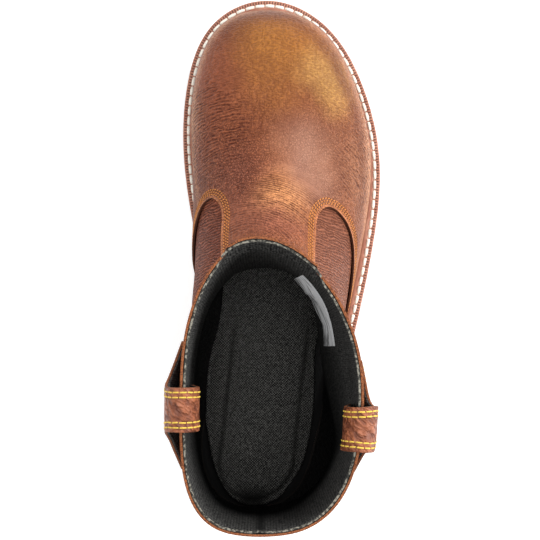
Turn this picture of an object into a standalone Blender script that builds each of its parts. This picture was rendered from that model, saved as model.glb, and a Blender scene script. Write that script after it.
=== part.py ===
"""A right-foot pull-on work boot: outsole, heel, welt, upper, vamp, insole and two pull straps.

Sizes are in millimetres and the meshes are written in metres. X runs across the boot with the
lateral side positive, Y runs along it towards the toe, and Z rises from the floor.
"""

import math

import bmesh
import bpy
import numpy as np
from mathutils import Vector
from mathutils.bvhtree import BVHTree

MM = 0.001
GAP = 0.3  # air between pieces that meet

# Outline of the sole seen from above, from the toe round the lateral side to the heel and back.
OUTLINE = (
    # place, across, along
    ("toe tip", -3.5, 157.0),
    ("lateral toe", 31.4, 143.6),
    ("lateral toe joint", 54.2, 108.6),
    ("lateral ball", 64.5, 62.0),
    ("lateral midfoot", 60.8, 17.0),
    ("lateral waist", 48.9, -38.0),
    ("lateral heel", 32.5, -103.0),
    ("lateral heel corner", 18.5, -135.0),
    ("heel back", -9.0, -145.0),
    ("medial heel corner", -35.5, -135.0),
    ("medial heel", -47.5, -103.0),
    ("medial waist", -35.5, -45.0),
    ("medial midfoot", -42.5, 14.0),
    ("medial ball", -50.8, 70.0),
    ("medial toe joint", -48.5, 108.6),
    ("medial toe", -33.3, 143.6),
)
OUTLINE_SAMPLES = 720
PROFILE_SAMPLES = 400
STATIONS = 30  # places along the sole where its rings have points

# Heights of the sole along its length.
FOREFOOT_SOLE = 13.5  # floor to the top of the outsole under the ball
HEEL_LIFT = 21.5  # how much higher the heel seat is than the ball
LIFT_FRONT, LIFT_BACK = 45.0, -85.0  # where the seat starts and stops rising
TOE_SPRING = 12.0
ROLL_START = 84.0  # in front of this the tread leaves the floor
WAIST_SOLE = 9.0  # thickness of the outsole in the arch
ARCH_FRONT, ARCH_BACK = 32.0, -12.0  # where the tread leaves the floor behind the ball
TREAD_DEPTH = 4.0

# Side of the outsole from the tread up: share of its thickness, and how far it stands back.
OUTSOLE_SIDE = (
    # place, share, inset
    ("tread edge", 0.0, 2.4),
    ("tread bevel", 0.14, 1.0),
    ("lower band", 0.42, 0.6),
    ("groove floor low", 0.48, 1.7),
    ("groove floor high", 0.58, 1.7),
    ("upper band", 0.64, 0.4),
    ("top edge", 1.0, 0.3),
)
FOREFOOT_GROOVES = 8
FOREFOOT_GROOVE_FIRST, FOREFOOT_GROOVE_PITCH = 18.0, 16.0
GROOVE_WIDTH = 5.0
GROOVE_ANGLE = math.radians(16)
SPINE_HALF = 6.0  # uncut rib along the middle of the tread
GROOVE_REACH = 80.0

# Heel block.
BREAST = -70.0  # front face of the heel at its top
BREAST_PITCH = 4.0  # how far the front face leans forward at the floor
HEEL_STATIONS = 14
HEEL_SIDE = (
    # place, share, inset
    ("floor edge", 0.0, 3.2),
    ("floor bevel", 0.08, 2.0),
    ("lower lift", 0.40, 1.5),
    ("lift groove low", 0.45, 2.6),
    ("lift groove high", 0.51, 2.6),
    ("upper lift", 0.56, 1.2),
    ("seat edge", 1.0, 0.6),
)
HEEL_GROOVES = (-88.0, -106.0, -124.0)

# Welt: a strip round the sole with a sunk channel for its stitches.
WELT_THICK = 3.7
WELT_SECTION = (
    # place, inset, height
    ("lower edge", 0.2, 0.0),
    ("outer face", 0.0, 3.0),
    ("outer edge", 0.7, WELT_THICK),
    ("channel outer lip", 2.5, WELT_THICK),
    ("channel floor", 3.3, 3.0),
    ("channel inner lip", 4.1, WELT_THICK),
)

# Upper: where its base wall meets the welt, and its profile on the middle line.
FEATHER_FOREFOOT, FEATHER_HEEL = 8.3, 4.6  # in from the sole's edge
FEATHER_FRONT, FEATHER_BACK = -30.0, -95.0  # where the one turns into the other
FEATHER_GAP = 0.5  # air between the welt and the upper's lower edge
WALL = 2.8  # leather with its lining
VAMP_THICK = 1.7
COLLAR_HEIGHT = 256.0
FRONT_PROFILE = (
    # place, along, up; the toe feather comes before these
    ("toe wall", 148.2, 42.0),
    ("toe shoulder", 141.0, 59.0),
    ("toe crown", 124.0, 69.5),
    ("cap end", 102.0, 75.5),
    ("flex line", 78.0, 81.5),
    ("instep", 52.0, 93.5),
    ("high instep", 28.0, 110.0),
    ("instep bend", 11.0, 131.0),
    ("throat", 4.0, 158.0),
    ("shaft", 7.0, 205.0),
    ("collar front", 15.0, COLLAR_HEIGHT),
)
BACK_PROFILE = (
    # place, along, up; the heel feather comes before these
    ("counter", -142.5, 62.0),
    ("counter top", -141.0, 94.0),
    ("tendon", -135.5, 138.0),
    ("shaft back", -132.0, 195.0),
    ("collar back", -134.0, COLLAR_HEIGHT),
)
THROAT_START = 150.0  # front height of the section that ends at the heel feather
RIDGE_SHARE = (
    # place, station, share of the front profile from the toe feather to the throat start
    ("toe tip", 0.0, 0.0),
    ("toe shoulder", 0.1, 0.11),
    ("toe crown", 0.2, 0.235),
    ("cap end", 0.3, 0.41),
    ("ball", 0.42, 0.585),
    ("waist", 0.6, 0.77),
    ("heel front", 0.8, 0.89),
    ("heel seat", 1.0, 1.0),
)

# Sections fan from upright at the toe to level at the collar. Station 0 is the toe tip, 1 the
# heel feather and 2 the collar.
FOREFOOT_BULGE = (
    # place, station, medial, lateral: how far the wall swells beyond its feather line
    ("toe tip", 0.0, 0.0, 0.0),
    ("cap", 0.15, 0.8, 0.8),
    ("cap end", 0.28, 1.6, 1.2),
    ("ball", 0.40, 2.2, 0.8),
    ("midfoot", 0.50, 11.0, 0.6),
    ("waist", 0.62, 17.0, 1.0),
    ("rear", 0.75, 4.0, 4.0),
)
BODY_WIDTH = (
    # place, station, medial x, lateral x of the widest points
    ("ball", 0.40, -43.0, 56.0),
    ("waist", 0.60, -44.5, 44.5),
    ("heel front", 0.75, -45.5, 42.0),
    ("heel seat", 1.0, -47.0, 41.2),
    ("ankle", 1.25, -45.5, 41.8),
    ("low shaft", 1.5, -44.0, 43.0),
    ("collar", 2.0, -45.6, 47.6),
)
TUCK_LEAST = 1.01  # the wall always swells a little beyond its feather line
BLEND_START, BLEND_END = 0.45, 0.75  # stations where the width stops following the feather line
CAP_STATION = 0.28
SECTION_SHAPE = (
    # place, station, ridge x, height share of the widest point, crown power, heel power
    ("toe tip", 0.0, -3.0, 0.34, 2.3, 2.0),
    ("cap end", CAP_STATION, -0.5, 0.30, 2.4, 2.0),
    ("ball", 0.42, 0.0, 0.26, 2.25, 2.0),
    ("waist", 0.60, -1.0, 0.32, 2.15, 2.0),
    ("heel seat", 1.0, -2.5, 0.36, 2.5, 2.35),
    ("low shaft", 1.5, -4.0, 0.46, 2.15, 2.4),
    ("collar", 2.0, -6.0, 0.48, 2.0, 2.8),
)
BACK_X = (
    # place, station, x of the back seam
    ("heel feather", 1.0, -9.0),
    ("ankle", 1.4, -7.5),
    ("collar", 2.0, -4.8),
)

# The vamp's edge: a rounded nose on each side, a tongue up to the collar and a wing to the welt.
SHOULDER_STATION = 0.57
WING_END = 0.578
NOSE_ROUND = 0.45  # how blunt the wing's side of the nose is
SEAM = {
    # station and half width of the nose, half widths at the shoulder behind it and at the collar,
    # and the share that the mesh line to the nose starts from at the toe
    "medial": {"station": 0.48, "nose": 37.0, "shoulder": 25.0, "collar": 16.0, "toe": 0.45},
    "lateral": {"station": 0.506, "nose": 33.5, "shoulder": 25.0, "collar": 26.5, "toe": 0.45},
}
SEAM_ROWS = (0.4835, 0.490, 0.498, 0.506, 0.5095, 0.516, 0.526, 0.540, 0.557, WING_END)

# Mesh rows and columns of the upper.
TOE_ROWS, REAR_ROWS, SHAFT_ROWS = 12, 8, 8
TONGUE_COLUMNS, PANEL_COLUMNS, WING_COLUMNS = 5, 12, 6

# Insole.
INSOLE_CLEARANCE = 1.5
INSOLE_FLOOR = 8.5  # above the outsole
CUP_FOREFOOT, CUP_HEEL = 1.0, 5.5  # how far its edge stands above its floor
CUP_RIM, CUP_SLOPE = 2.5, 9.0  # widths of the edge and of the edge with its slope
INSOLE_LIE = (
    # place, station, medial edge moved out, its flank raised on the arch, lateral edge moved in
    ("heel tip", -137, 0.0, 0.0, 0.0),
    ("heel round", -131, -4.0, 0.0, 4.0),
    ("heel corner", -124, -5.6, 0.0, 5.0),
    ("heel", -113, -5.0, 0.0, 1.8),
    ("heel front", -98, -3.2, 0.0, 2.0),
    ("seat", -80, 2.8, 0.5, 3.2),
    ("rear waist", -60, 9.4, 3.6, 6.3),
    ("waist", -47, 11.0, 4.4, 8.8),
    ("front waist", -37, 8.0, 0.7, 9.0),
    ("midfoot", -26, 7.0, 1.0, 7.0),
    ("instep", -14, 3.0, 0.2, 3.5),
    ("ball", 6, 0.0, 0.0, 0.0),
)

# Pull straps: leather folded over the collar, with an outer leg that widens to its foot.
STRAP_THICK = 2.4
STRAP_STATIONS = 20
STRAP_CENTRE = {"medial": -69.5, "lateral": -79.2}
STRAP_PATH = (
    # place, height over the collar, offset from the wall's middle, half width
    ("inside foot", -26.0, -3.3, 11.0),
    ("inside leg", -10.0, -6.0, 11.0),
    ("inside shoulder", 4.0, -7.4, 11.0),
    ("crown", 13.0, 0.0, 11.2),
    ("outside shoulder", 4.0, 7.4, 11.4),
    ("outside leg", -12.0, None, None),
    ("outside foot", -38.0, 3.5, 33.0),
)
OUTSIDE_LEG = {"medial": (6.2, 17.0), "lateral": (4.3, 13.0)}  # offset and half width
STRAP_ACROSS = 6


def smoothstep(value):
    value = np.clip(value, 0.0, 1.0)
    return value * value * (3 - 2 * value)


def spline(knots, values):
    """A natural cubic through values at rising knots, as a function of position."""
    knots = np.asarray(knots, float)
    values = np.asarray(values, float)
    step = np.diff(knots)
    slope = np.diff(values) / step
    count = len(knots)
    matrix = np.eye(count)
    right = np.zeros(count)
    for row in range(1, count - 1):
        matrix[row, row - 1] = step[row - 1]
        matrix[row, row] = 2 * (step[row - 1] + step[row])
        matrix[row, row + 1] = step[row]
        right[row] = 6 * (slope[row] - slope[row - 1])
    bend = np.linalg.solve(matrix, right)

    def at(position):
        position = np.asarray(position, float)
        row = np.clip(np.searchsorted(knots, position) - 1, 0, count - 2)
        ahead = (position - knots[row]) / step[row]
        back = 1 - ahead
        curve = (back**3 - back) * bend[row] + (ahead**3 - ahead) * bend[row + 1]
        return back * values[row] + ahead * values[row + 1] + curve * step[row] ** 2 / 6

    return at


def column(table, *places):
    """Splines of a table's later columns over its station column."""
    stations = [row[1] for row in table]
    return [spline(stations, [row[place] for row in table]) for place in places]


def curve_through(points, samples):
    """Points spread along a smooth curve through the given ones."""
    points = np.asarray(points, float)
    chord = np.concatenate([[0], np.cumsum(np.linalg.norm(np.diff(points, axis=0), axis=1))])
    along = np.linspace(chord[0], chord[-1], samples)
    return np.column_stack([spline(chord, axis)(along) for axis in points.T])


def closed_outline():
    """The sole's outline as a dense loop, toe first, with the inward direction at each point."""
    points = [row[1:] for row in OUTLINE]
    wrapped = np.array(points[-4:] + points + points[:5], float)
    chord = np.concatenate([[0], np.cumsum(np.linalg.norm(np.diff(wrapped, axis=0), axis=1))])
    along = np.linspace(chord[4], chord[4 + len(points)], OUTLINE_SAMPLES, endpoint=False)
    loop = np.column_stack([spline(chord, axis)(along) for axis in wrapped.T])
    loop = np.roll(loop, -int(loop[:, 1].argmax()), axis=0)
    tangent = np.roll(loop, -1, axis=0) - np.roll(loop, 1, axis=0)
    tangent /= np.linalg.norm(tangent, axis=1)[:, None]
    return loop, np.column_stack([tangent[:, 1], -tangent[:, 0]])


LOOP, INWARD = closed_outline()


class Footprint:
    """The sole's outline moved in by a distance, as medial and lateral edges over the length."""

    def __init__(self, inset):
        depth = inset(LOOP[:, 1]) if callable(inset) else inset
        points = LOOP + INWARD * np.broadcast_to(depth, len(LOOP))[:, None]
        toe = int(points[:, 1].argmax())
        points = np.roll(points, -toe, axis=0)
        heel = int(points[:, 1].argmin())
        self.toe, self.heel = points[0, 1], points[heel, 1]
        self._lateral = points[heel::-1]
        self._medial = np.vstack([points[heel:], points[:1]])

    def lateral(self, along):
        return np.interp(along, self._lateral[:, 1], self._lateral[:, 0])

    def medial(self, along):
        return np.interp(along, self._medial[:, 1], self._medial[:, 0])


def spring(along):
    """Rise of the toe above the floor."""
    length = OUTLINE[0][2] - ROLL_START
    return TOE_SPRING * np.clip((along - ROLL_START) / length, 0, None) ** 2


def seat_height(along):
    """Top of the outsole."""
    lift = smoothstep((LIFT_FRONT - along) / (LIFT_FRONT - LIFT_BACK))
    return FOREFOOT_SOLE + spring(along) + HEEL_LIFT * lift


def tread_height(along):
    """Underside of the outsole."""
    arch = smoothstep((ARCH_FRONT - along) / (ARCH_FRONT - ARCH_BACK))
    return spring(along) + arch * (seat_height(along) - WAIST_SOLE)


def feather_height(along):
    """Lower edge of the upper, over the welt."""
    return seat_height(along) + GAP + WELT_THICK + FEATHER_GAP


def feather_inset(along):
    """How far the upper's base wall stands in from the sole's edge."""
    heelward = smoothstep((FEATHER_FRONT - along) / (FEATHER_FRONT - FEATHER_BACK))
    return FEATHER_FOREFOOT + (FEATHER_HEEL - FEATHER_FOREFOOT) * heelward


def ring(inset, height, front=None):
    """A loop round the sole: heel tip, lateral side, toe tip or front edge, then medial side."""
    edge = Footprint(inset)
    stations = STATIONS if front is None else HEEL_STATIONS
    turn = math.pi if front is None else math.pi / 2
    reach = edge.toe if front is None else front
    share = (1 - np.cos(np.linspace(0, turn, stations))) / (1 - math.cos(turn))
    along = edge.heel + (reach - edge.heel) * share
    last = stations - 1 if front is None else stations
    lateral = np.column_stack([edge.lateral(along), along])
    medial = np.column_stack([edge.medial(along), along])[1:last][::-1]
    flat = np.vstack([lateral, medial])
    return np.column_stack([flat, height(flat[:, 1])])


def band(first, second, count):
    """Faces between two rings of the same count."""
    return [
        (first + i, first + (i + 1) % count, second + (i + 1) % count, second + i)
        for i in range(count)
    ]


def ladder(first, count, stations):
    """Faces across a ring, between the lateral and medial points at the same station."""
    faces = []
    for i in range(stations - 1):
        corners = [i, i + 1, (count - i - 1) % count, (count - i) % count]
        faces.append(tuple(first + c for c in dict.fromkeys(corners)))
    return faces


def loft(rings, stations):
    """A solid through rings from the bottom up, closed at both ends."""
    count = len(rings[0])
    faces = [face[::-1] for face in ladder(0, count, stations)]
    for level in range(len(rings) - 1):
        faces += band(level * count, (level + 1) * count, count)
    faces += ladder((len(rings) - 1) * count, count, stations)
    return np.vstack(rings), faces


def hoop(rings):
    """A solid through rings that follow each other round a closed section."""
    count = len(rings[0])
    faces = []
    for level in range(len(rings)):
        faces += band(level * count, (level + 1) % len(rings) * count, count)
    return np.vstack(rings), faces


def outsole_solid():
    rings = []
    for _, share, inset in OUTSOLE_SIDE:
        rings.append(
            ring(inset, lambda y: tread_height(y) + share * (seat_height(y) - tread_height(y)))
        )
    return loft(rings, STATIONS)


def heel_solid():
    rings = []
    for _, share, inset in HEEL_SIDE:
        front = BREAST + BREAST_PITCH * (1 - share)
        rings.append(ring(inset, lambda y: share * (tread_height(y) - GAP), front))
    return loft(rings, HEEL_STATIONS)


def welt_solid():
    inner = lambda y: feather_inset(y) + WALL - GAP
    places = [(inset, height) for _, inset, height in WELT_SECTION]
    places += [(inner, WELT_THICK), (inner, 0.0)]
    return hoop([ring(i, lambda y: seat_height(y) + GAP + h) for i, h in places])


def settled(points, reach, lifted):
    """An insole ring as it lies in the boot: shares of how far its flank leans out and is raised."""
    stations = [row[1] for row in INSOLE_LIE]
    out, rise, narrow = (
        np.interp(points[:, 1], stations, [row[place] for row in INSOLE_LIE]) for place in (2, 3, 4)
    )
    medial = np.arange(len(points)) >= STATIONS
    across = points[:, 0] - np.where(medial, np.minimum(out, reach * out), narrow)
    height = points[:, 2] + np.where(medial, lifted * rise, 0.0)
    return np.column_stack([across, points[:, 1], height])


def insole_solid():
    edge = lambda y: feather_inset(y) + WALL + INSOLE_CLEARANCE
    heelward = lambda y: smoothstep((LIFT_FRONT - y) / (LIFT_FRONT - LIFT_BACK))
    cup = lambda y: CUP_FOREFOOT + (CUP_HEEL - CUP_FOREFOOT) * heelward(y)
    floor = lambda y: seat_height(y) + INSOLE_FLOOR
    places = (
        # inset, height, share of the flank's lean, share of its rise
        (edge, lambda y: seat_height(y) + GAP, -0.15, 0.0),
        (edge, lambda y: floor(y) + 0.7 * cup(y) - 0.5 * INSOLE_FLOOR, 0.3, 0.6),
        (edge, lambda y: floor(y) + 0.7 * cup(y), 1.0, 1.0),
        (lambda y: edge(y) + 0.4 * CUP_RIM, lambda y: floor(y) + cup(y), 1.0, 1.0),
        (lambda y: edge(y) + CUP_RIM, lambda y: floor(y) + 0.9 * cup(y), 1.0, 0.9),
        (lambda y: edge(y) + 0.6 * CUP_SLOPE, lambda y: floor(y) + 0.3 * cup(y), 1.0, 0.3),
        (lambda y: edge(y) + CUP_SLOPE, floor, 1.0, 0.0),
    )
    rings = [settled(ring(inset, height), lean, rise) for inset, height, lean, rise in places]
    return loft(rings, STATIONS)


def groove_boxes(rows):
    """Boxes for tread grooves: each row is the middle of one end, the other end and the depth."""
    points, faces = [], []
    for near, far, top in rows:
        side = np.array([near[1] - far[1], far[0] - near[0]])
        side *= GROOVE_WIDTH / 2 / np.linalg.norm(side)
        first = len(points)
        for height in (top - 3 * TREAD_DEPTH, top):
            for corner in (near - side, far - side, far + side, near + side):
                points.append((*corner, height))
        faces += [(first + 3, first + 2, first + 1, first)]
        faces += [tuple(first + 4 + i for i in range(4))]
        faces += [
            (first + i, first + (i + 1) % 4, first + 4 + (i + 1) % 4, first + 4 + i)
            for i in range(4)
        ]
    return np.array(points), faces


def forefoot_grooves():
    """Angled grooves on both sides of a middle rib."""
    rows = []
    for index in range(FOREFOOT_GROOVES):
        along = FOREFOOT_GROOVE_FIRST + index * FOREFOOT_GROOVE_PITCH
        middle = (Footprint(0).medial(along) + Footprint(0).lateral(along)) / 2
        top = float(tread_height(along)) + TREAD_DEPTH
        for sign in (-1, 1):
            way = np.array([sign * math.cos(GROOVE_ANGLE), -math.sin(GROOVE_ANGLE)])
            near = np.array([middle, along]) + way * SPINE_HALF
            rows.append((near, near + way * GROOVE_REACH, top))
    return groove_boxes(rows)


def heel_grooves():
    """Straight grooves right across the heel."""
    middle = OUTLINE[8][1]
    reach = np.array([GROOVE_REACH, 0.0])
    centres = [np.array([middle, along]) for along in HEEL_GROOVES]
    return groove_boxes([(centre - reach, centre + reach, TREAD_DEPTH) for centre in centres])


FEATHER = Footprint(feather_inset)


def profile(feather, table):
    """A middle-line profile as dense points, starting on the welt."""
    rows = [(feather, feather_height(feather))]
    rows += [(along, up) for _, along, up in table]
    return curve_through(rows, PROFILE_SAMPLES)


FRONT = profile(FEATHER.toe, FRONT_PROFILE)
BACK = profile(FEATHER.heel, BACK_PROFILE)
FRONT_LENGTH = np.concatenate([[0], np.cumsum(np.linalg.norm(np.diff(FRONT, axis=0), axis=1))])
THROAT_LENGTH = float(np.interp(THROAT_START, FRONT[:, 1], FRONT_LENGTH))
(RIDGE_PLACE,) = column(RIDGE_SHARE, 2)
BULGE_MEDIAL, BULGE_LATERAL = column(FOREFOOT_BULGE, 2, 3)
BODY_MEDIAL, BODY_LATERAL = column(BODY_WIDTH, 2, 3)
RIDGE_X, WIDEST, CROWN, TAIL = column(SECTION_SHAPE, 2, 3, 4, 5)
(BACK_SEAM_X,) = column(BACK_X, 2)


def section_ends(station):
    """Bottom or back end, and top or front end, of a section, each as (along, up)."""
    toe, heel = FRONT[0, 0], BACK[0, 0]
    if station <= 1:
        low = toe + (heel - toe) * (1 - math.cos(math.pi * station)) / 2
        place = float(RIDGE_PLACE(station)) * THROAT_LENGTH
        high = np.array([np.interp(place, FRONT_LENGTH, axis) for axis in FRONT.T])
        return np.array([low, feather_height(low)]), high
    rise = station - 1
    low = BACK[0, 1] + (COLLAR_HEIGHT - BACK[0, 1]) * (1 - math.cos(math.pi / 2 * rise))
    high = THROAT_START + (COLLAR_HEIGHT - THROAT_START) * rise
    back = np.array([np.interp(low, BACK[:, 1], BACK[:, 0]), low])
    return back, np.array([np.interp(high, FRONT[:, 1], FRONT[:, 0]), high])


class Section:
    """One side of the upper's outer wall on one section, from its ridge down to its end."""

    def __init__(self, station, side):
        self.sign = 1 if side == "lateral" else -1
        self.low, self.high = section_ends(station)
        if station <= 1:
            edges = FEATHER.medial(self.low[0]), FEATHER.lateral(self.low[0])
        else:
            edges = (float(BACK_SEAM_X(station)),) * 2
        self.low_x = sum(edges) / 2
        foot_half = (edges[1] - edges[0]) / 2
        early, late = min(station, BLEND_END), max(station, BLEND_START)
        foot = edges[0] - float(BULGE_MEDIAL(early)), edges[1] + float(BULGE_LATERAL(early))
        body = float(BODY_MEDIAL(late)), float(BODY_LATERAL(late))
        blend = float(smoothstep((station - BLEND_START) / (BLEND_END - BLEND_START)))
        medial, lateral = (f + (b - f) * blend for f, b in zip(foot, body))
        self.half = max((lateral - medial) / 2, foot_half * TUCK_LEAST)
        self.widest_x = (lateral + medial) / 2
        self.widest = float(WIDEST(station))
        turned = float(smoothstep(station / CAP_STATION))
        self.ridge_x = self.low_x + (float(RIDGE_X(station)) - self.low_x) * turned
        self.crown = 2 / float(CROWN(station))
        self.tail = 2 / float(TAIL(station))
        ratio = foot_half / self.half if self.half > 0 else 1.0
        self.tuck = math.acos(min(1.0, ratio ** (1 / self.tail)))
        height = np.linalg.norm(self.high - self.low)
        over = math.pi / 2 * math.hypot(self.half, height * (1 - self.widest)) / math.sqrt(2)
        under = math.hypot(self.half - foot_half, height * self.widest)
        self.split = over / (over + under) if over > 0 else 0.5

    def middle(self, rise):
        """X of the line halfway between the two sides, at a share of the section's height."""
        under = np.clip(1 - rise / self.widest, 0, None) ** 2
        over = np.clip((rise - self.widest) / (1 - self.widest), 0, None) ** 2
        return (
            self.widest_x
            + (self.low_x - self.widest_x) * under
            + (self.ridge_x - self.widest_x) * over
        )

    def points(self, shares):
        """Places at shares of the way down, spread about evenly along the wall."""
        shares = np.asarray(shares, float)
        above = math.pi / 2 * (1 - np.clip(shares / self.split, 0, 1))
        below = self.tuck * np.clip((shares - self.split) / (1 - self.split), 0, 1)
        upper = shares <= self.split
        out = np.where(upper, np.cos(above) ** self.crown, np.abs(np.cos(below)) ** self.tail)
        dip = (np.sin(below) / max(math.sin(self.tuck), 1e-6)) ** self.tail
        dome = self.widest + (1 - self.widest) * np.sin(above) ** self.crown
        rise = np.where(upper, dome, self.widest * (1 - dip))
        line = self.low[None, :] + (self.high - self.low)[None, :] * rise[:, None]
        return np.column_stack([self.middle(rise) + self.sign * self.half * out, line])

    def share_at(self, out):
        """Share of the way down where the wall stands this far out from its middle."""
        angle = math.acos(min(1.0, out / self.half) ** (1 / self.crown))
        return self.split * (1 - angle / (math.pi / 2))


def seam_shares(section, station, side):
    """Shares of the tongue's edge and of the wing's edge on one section behind the nose."""
    shape = SEAM[side]
    start = shape["station"]
    near = np.clip((station - start) / (SHOULDER_STATION - start), 0, 1)
    far = np.clip((station - SHOULDER_STATION) / (2 - SHOULDER_STATION), 0, 1)
    tongue = shape["nose"] - (shape["nose"] - shape["shoulder"]) * math.sqrt(1 - (1 - near) ** 2)
    tongue += (shape["collar"] - shape["shoulder"]) * far
    edge = section.share_at(tongue)
    nose = section.share_at(shape["nose"])
    back = np.clip((station - start) / (WING_END - start), 0, 1)
    turn = NOSE_ROUND * math.sqrt(back) + (1 - NOSE_ROUND) * back
    return edge, nose + (1 - nose) * turn


def upper_rows():
    """Stations of the mesh rows, closer together where the noses of the seam turn."""
    toe = np.linspace(0, SEAM["medial"]["station"], TOE_ROWS + 1)
    rear = np.linspace(WING_END, 1, REAR_ROWS + 1)[1:]
    shaft = np.linspace(1, 2, SHAFT_ROWS + 1)[1:]
    return np.concatenate([toe, SEAM_ROWS, rear, shaft])


def block_lines(side, block):
    """Rows of points of one block of the upper."""
    shape = SEAM[side]
    nose = Section(shape["station"], side).share_at(shape["nose"])
    lines = []
    for station in upper_rows():
        section = Section(station, side)
        if station <= shape["station"]:
            reach = station / shape["station"]
            tongue = wing = shape["toe"] + (nose - shape["toe"]) * reach
        else:
            tongue, wing = seam_shares(section, station, side)
        if block == "tongue":
            shares = np.linspace(0, tongue, TONGUE_COLUMNS + 1)
        elif block == "panel" and station >= shape["station"]:
            shares = np.linspace(tongue, wing, PANEL_COLUMNS + 1)
        elif block == "wing" and station <= WING_END:
            shares = np.linspace(wing, 1, WING_COLUMNS + 1)
        else:
            continue
        lines.append(section.points(shares))
    return lines


def halves(corners, turned):
    """Two triangles of a four-cornered face, split along its shorter diagonal."""
    a, b, c, d = corners
    if np.linalg.norm(a - c) <= np.linalg.norm(b - d):
        pair = [(a, b, c), (a, c, d)]
    else:
        pair = [(a, b, d), (b, c, d)]
    return [triangle[::-1] for triangle in pair] if turned else pair


def upper_mesh():
    """The outer wall as welded points and faces, with the block that each face belongs to."""
    index, points, faces, blocks = {}, [], [], []

    def vertex(point):
        key = tuple(np.round(point, 3) + 0.0)
        if key not in index:
            index[key] = len(points)
            points.append(point)
        return index[key]

    for side in ("medial", "lateral"):
        for block in ("tongue", "panel", "wing"):
            lines = block_lines(side, block)
            for first, second in zip(lines, lines[1:]):
                for i in range(len(first) - 1):
                    corners = [first[i], second[i], second[i + 1], first[i + 1]]
                    for face in halves(corners, side == "medial"):
                        face = tuple(dict.fromkeys(vertex(c) for c in face))
                        if len(face) == 3:
                            faces.append(face)
                            blocks.append(block)
    return np.array(points), faces, blocks


def boundary_edges(faces):
    """Directed edges that only one face uses."""
    edges = {(a, b) for face in faces for a, b in zip(face, face[1:] + face[:1])}
    return [(a, b) for a, b in edges if (b, a) not in edges]


def outward(points, faces):
    """Vertex directions, weighted by area, and level along open edges."""
    normals = np.zeros_like(points)
    for face in faces:
        corners = points[list(face)]
        area = sum(np.cross(corners[i], corners[(i + 1) % len(face)]) for i in range(len(face)))
        normals[list(face)] += area
    rim = sorted({v for edge in boundary_edges(faces) for v in edge})
    normals[rim, 2] = 0
    return normals / np.linalg.norm(normals, axis=1)[:, None]


def thicken(points, faces, normals, low, high):
    """A closed wall between two offsets of an open surface."""
    used = sorted({v for face in faces for v in face})
    place = {v: i for i, v in enumerate(used)}
    count = len(used)
    faces = [tuple(place[v] for v in face) for face in faces]
    points, normals = points[used], normals[used]
    solid = list(faces)
    solid += [tuple(count + v for v in face[::-1]) for face in faces]
    solid += [(b, a, count + a, count + b) for a, b in boundary_edges(faces)]
    walls = np.vstack([points + normals * high, points + normals * low])
    walls[:, 2] = np.maximum(walls[:, 2], feather_height(walls[:, 1]))
    return walls, solid


def strap_solid(side, wall_points, wall_faces):
    """A strap over the collar whose legs follow the wall that stands behind them."""
    tree = BVHTree.FromPolygons([Vector(p) for p in wall_points], wall_faces)
    sign = 1 if side == "lateral" else -1
    centre = STRAP_CENTRE[side]
    rows = [row[1:] if row[2] is not None else (row[1], *OUTSIDE_LEG[side]) for row in STRAP_PATH]
    knots = np.arange(len(rows))
    over, offset, half = (spline(knots, values) for values in zip(*rows))
    across = np.linspace(-1, 1, STRAP_ACROSS + 1)
    lines = []
    for knot in np.linspace(knots[0], knots[-1], STRAP_STATIONS + 1):
        line = []
        for share in across:
            along = centre + share * float(half(knot))
            up = COLLAR_HEIGHT + float(over(knot))
            start = Vector((sign * 200.0, along, min(up, COLLAR_HEIGHT - 1.0)))
            wall = tree.ray_cast(start, Vector((-sign, 0, 0)))[0]
            line.append((wall.x - sign * WALL / 2 + sign * float(offset(knot)), along, up))
        lines.append(np.array(line))
    columns = len(across)
    faces = []
    for row in range(len(lines) - 1):
        for i in range(columns - 1):
            first, second = row * columns + i, (row + 1) * columns + i
            face = (first, first + 1, second + 1, second)
            faces.append(face if side == "lateral" else face[::-1])
    points = np.vstack(lines)
    normals = np.zeros_like(points)
    for face in faces:
        corners = points[list(face)]
        area = sum(np.cross(corners[i], corners[(i + 1) % 4]) for i in range(4))
        normals[list(face)] += area
    normals /= np.linalg.norm(normals, axis=1)[:, None]
    return thicken(points, faces, normals, -STRAP_THICK / 2, STRAP_THICK / 2)


def material(name, colour, roughness):
    made = bpy.data.materials.new(name)
    made.use_nodes = True
    shader = made.node_tree.nodes["Principled BSDF"]
    shader.inputs["Base Color"].default_value = (*colour, 1)
    shader.inputs["Roughness"].default_value = roughness
    shader.inputs["Metallic"].default_value = 0.0
    return made


def add_piece(name, solid, finish, parent, smooth_angle=40):
    """An object made from points in millimetres and faces."""
    points, faces = solid
    mesh = bpy.data.meshes.new(name)
    mesh.from_pydata((points * MM).tolist(), [], faces)
    work = bmesh.new()
    work.from_mesh(mesh)
    bmesh.ops.recalc_face_normals(work, faces=work.faces)
    work.to_mesh(mesh)
    work.free()
    mesh.shade_smooth()
    mesh.set_sharp_from_angle(angle=math.radians(smooth_angle))
    if finish:
        mesh.materials.append(finish)
    piece = bpy.data.objects.new(name, mesh)
    piece.parent = parent
    bpy.context.scene.collection.objects.link(piece)
    return piece


def cut(piece, cutter):
    """Cuts a piece with a hidden tool."""
    cutter.hide_render = True
    cutter.display_type = "WIRE"
    grooves = piece.modifiers.new("grooves", "BOOLEAN")
    grooves.operation = "DIFFERENCE"
    grooves.object = cutter


def centre_on_floor(root, pieces):
    """Moves the whole boot so that its box stands centred on the origin."""
    corners = np.vstack([np.array([v.co for v in piece.data.vertices]) for piece in pieces])
    low, high = corners.min(axis=0), corners.max(axis=0)
    root.location = (-(low[0] + high[0]) / 2, -(low[1] + high[1]) / 2, -low[2])


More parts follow.
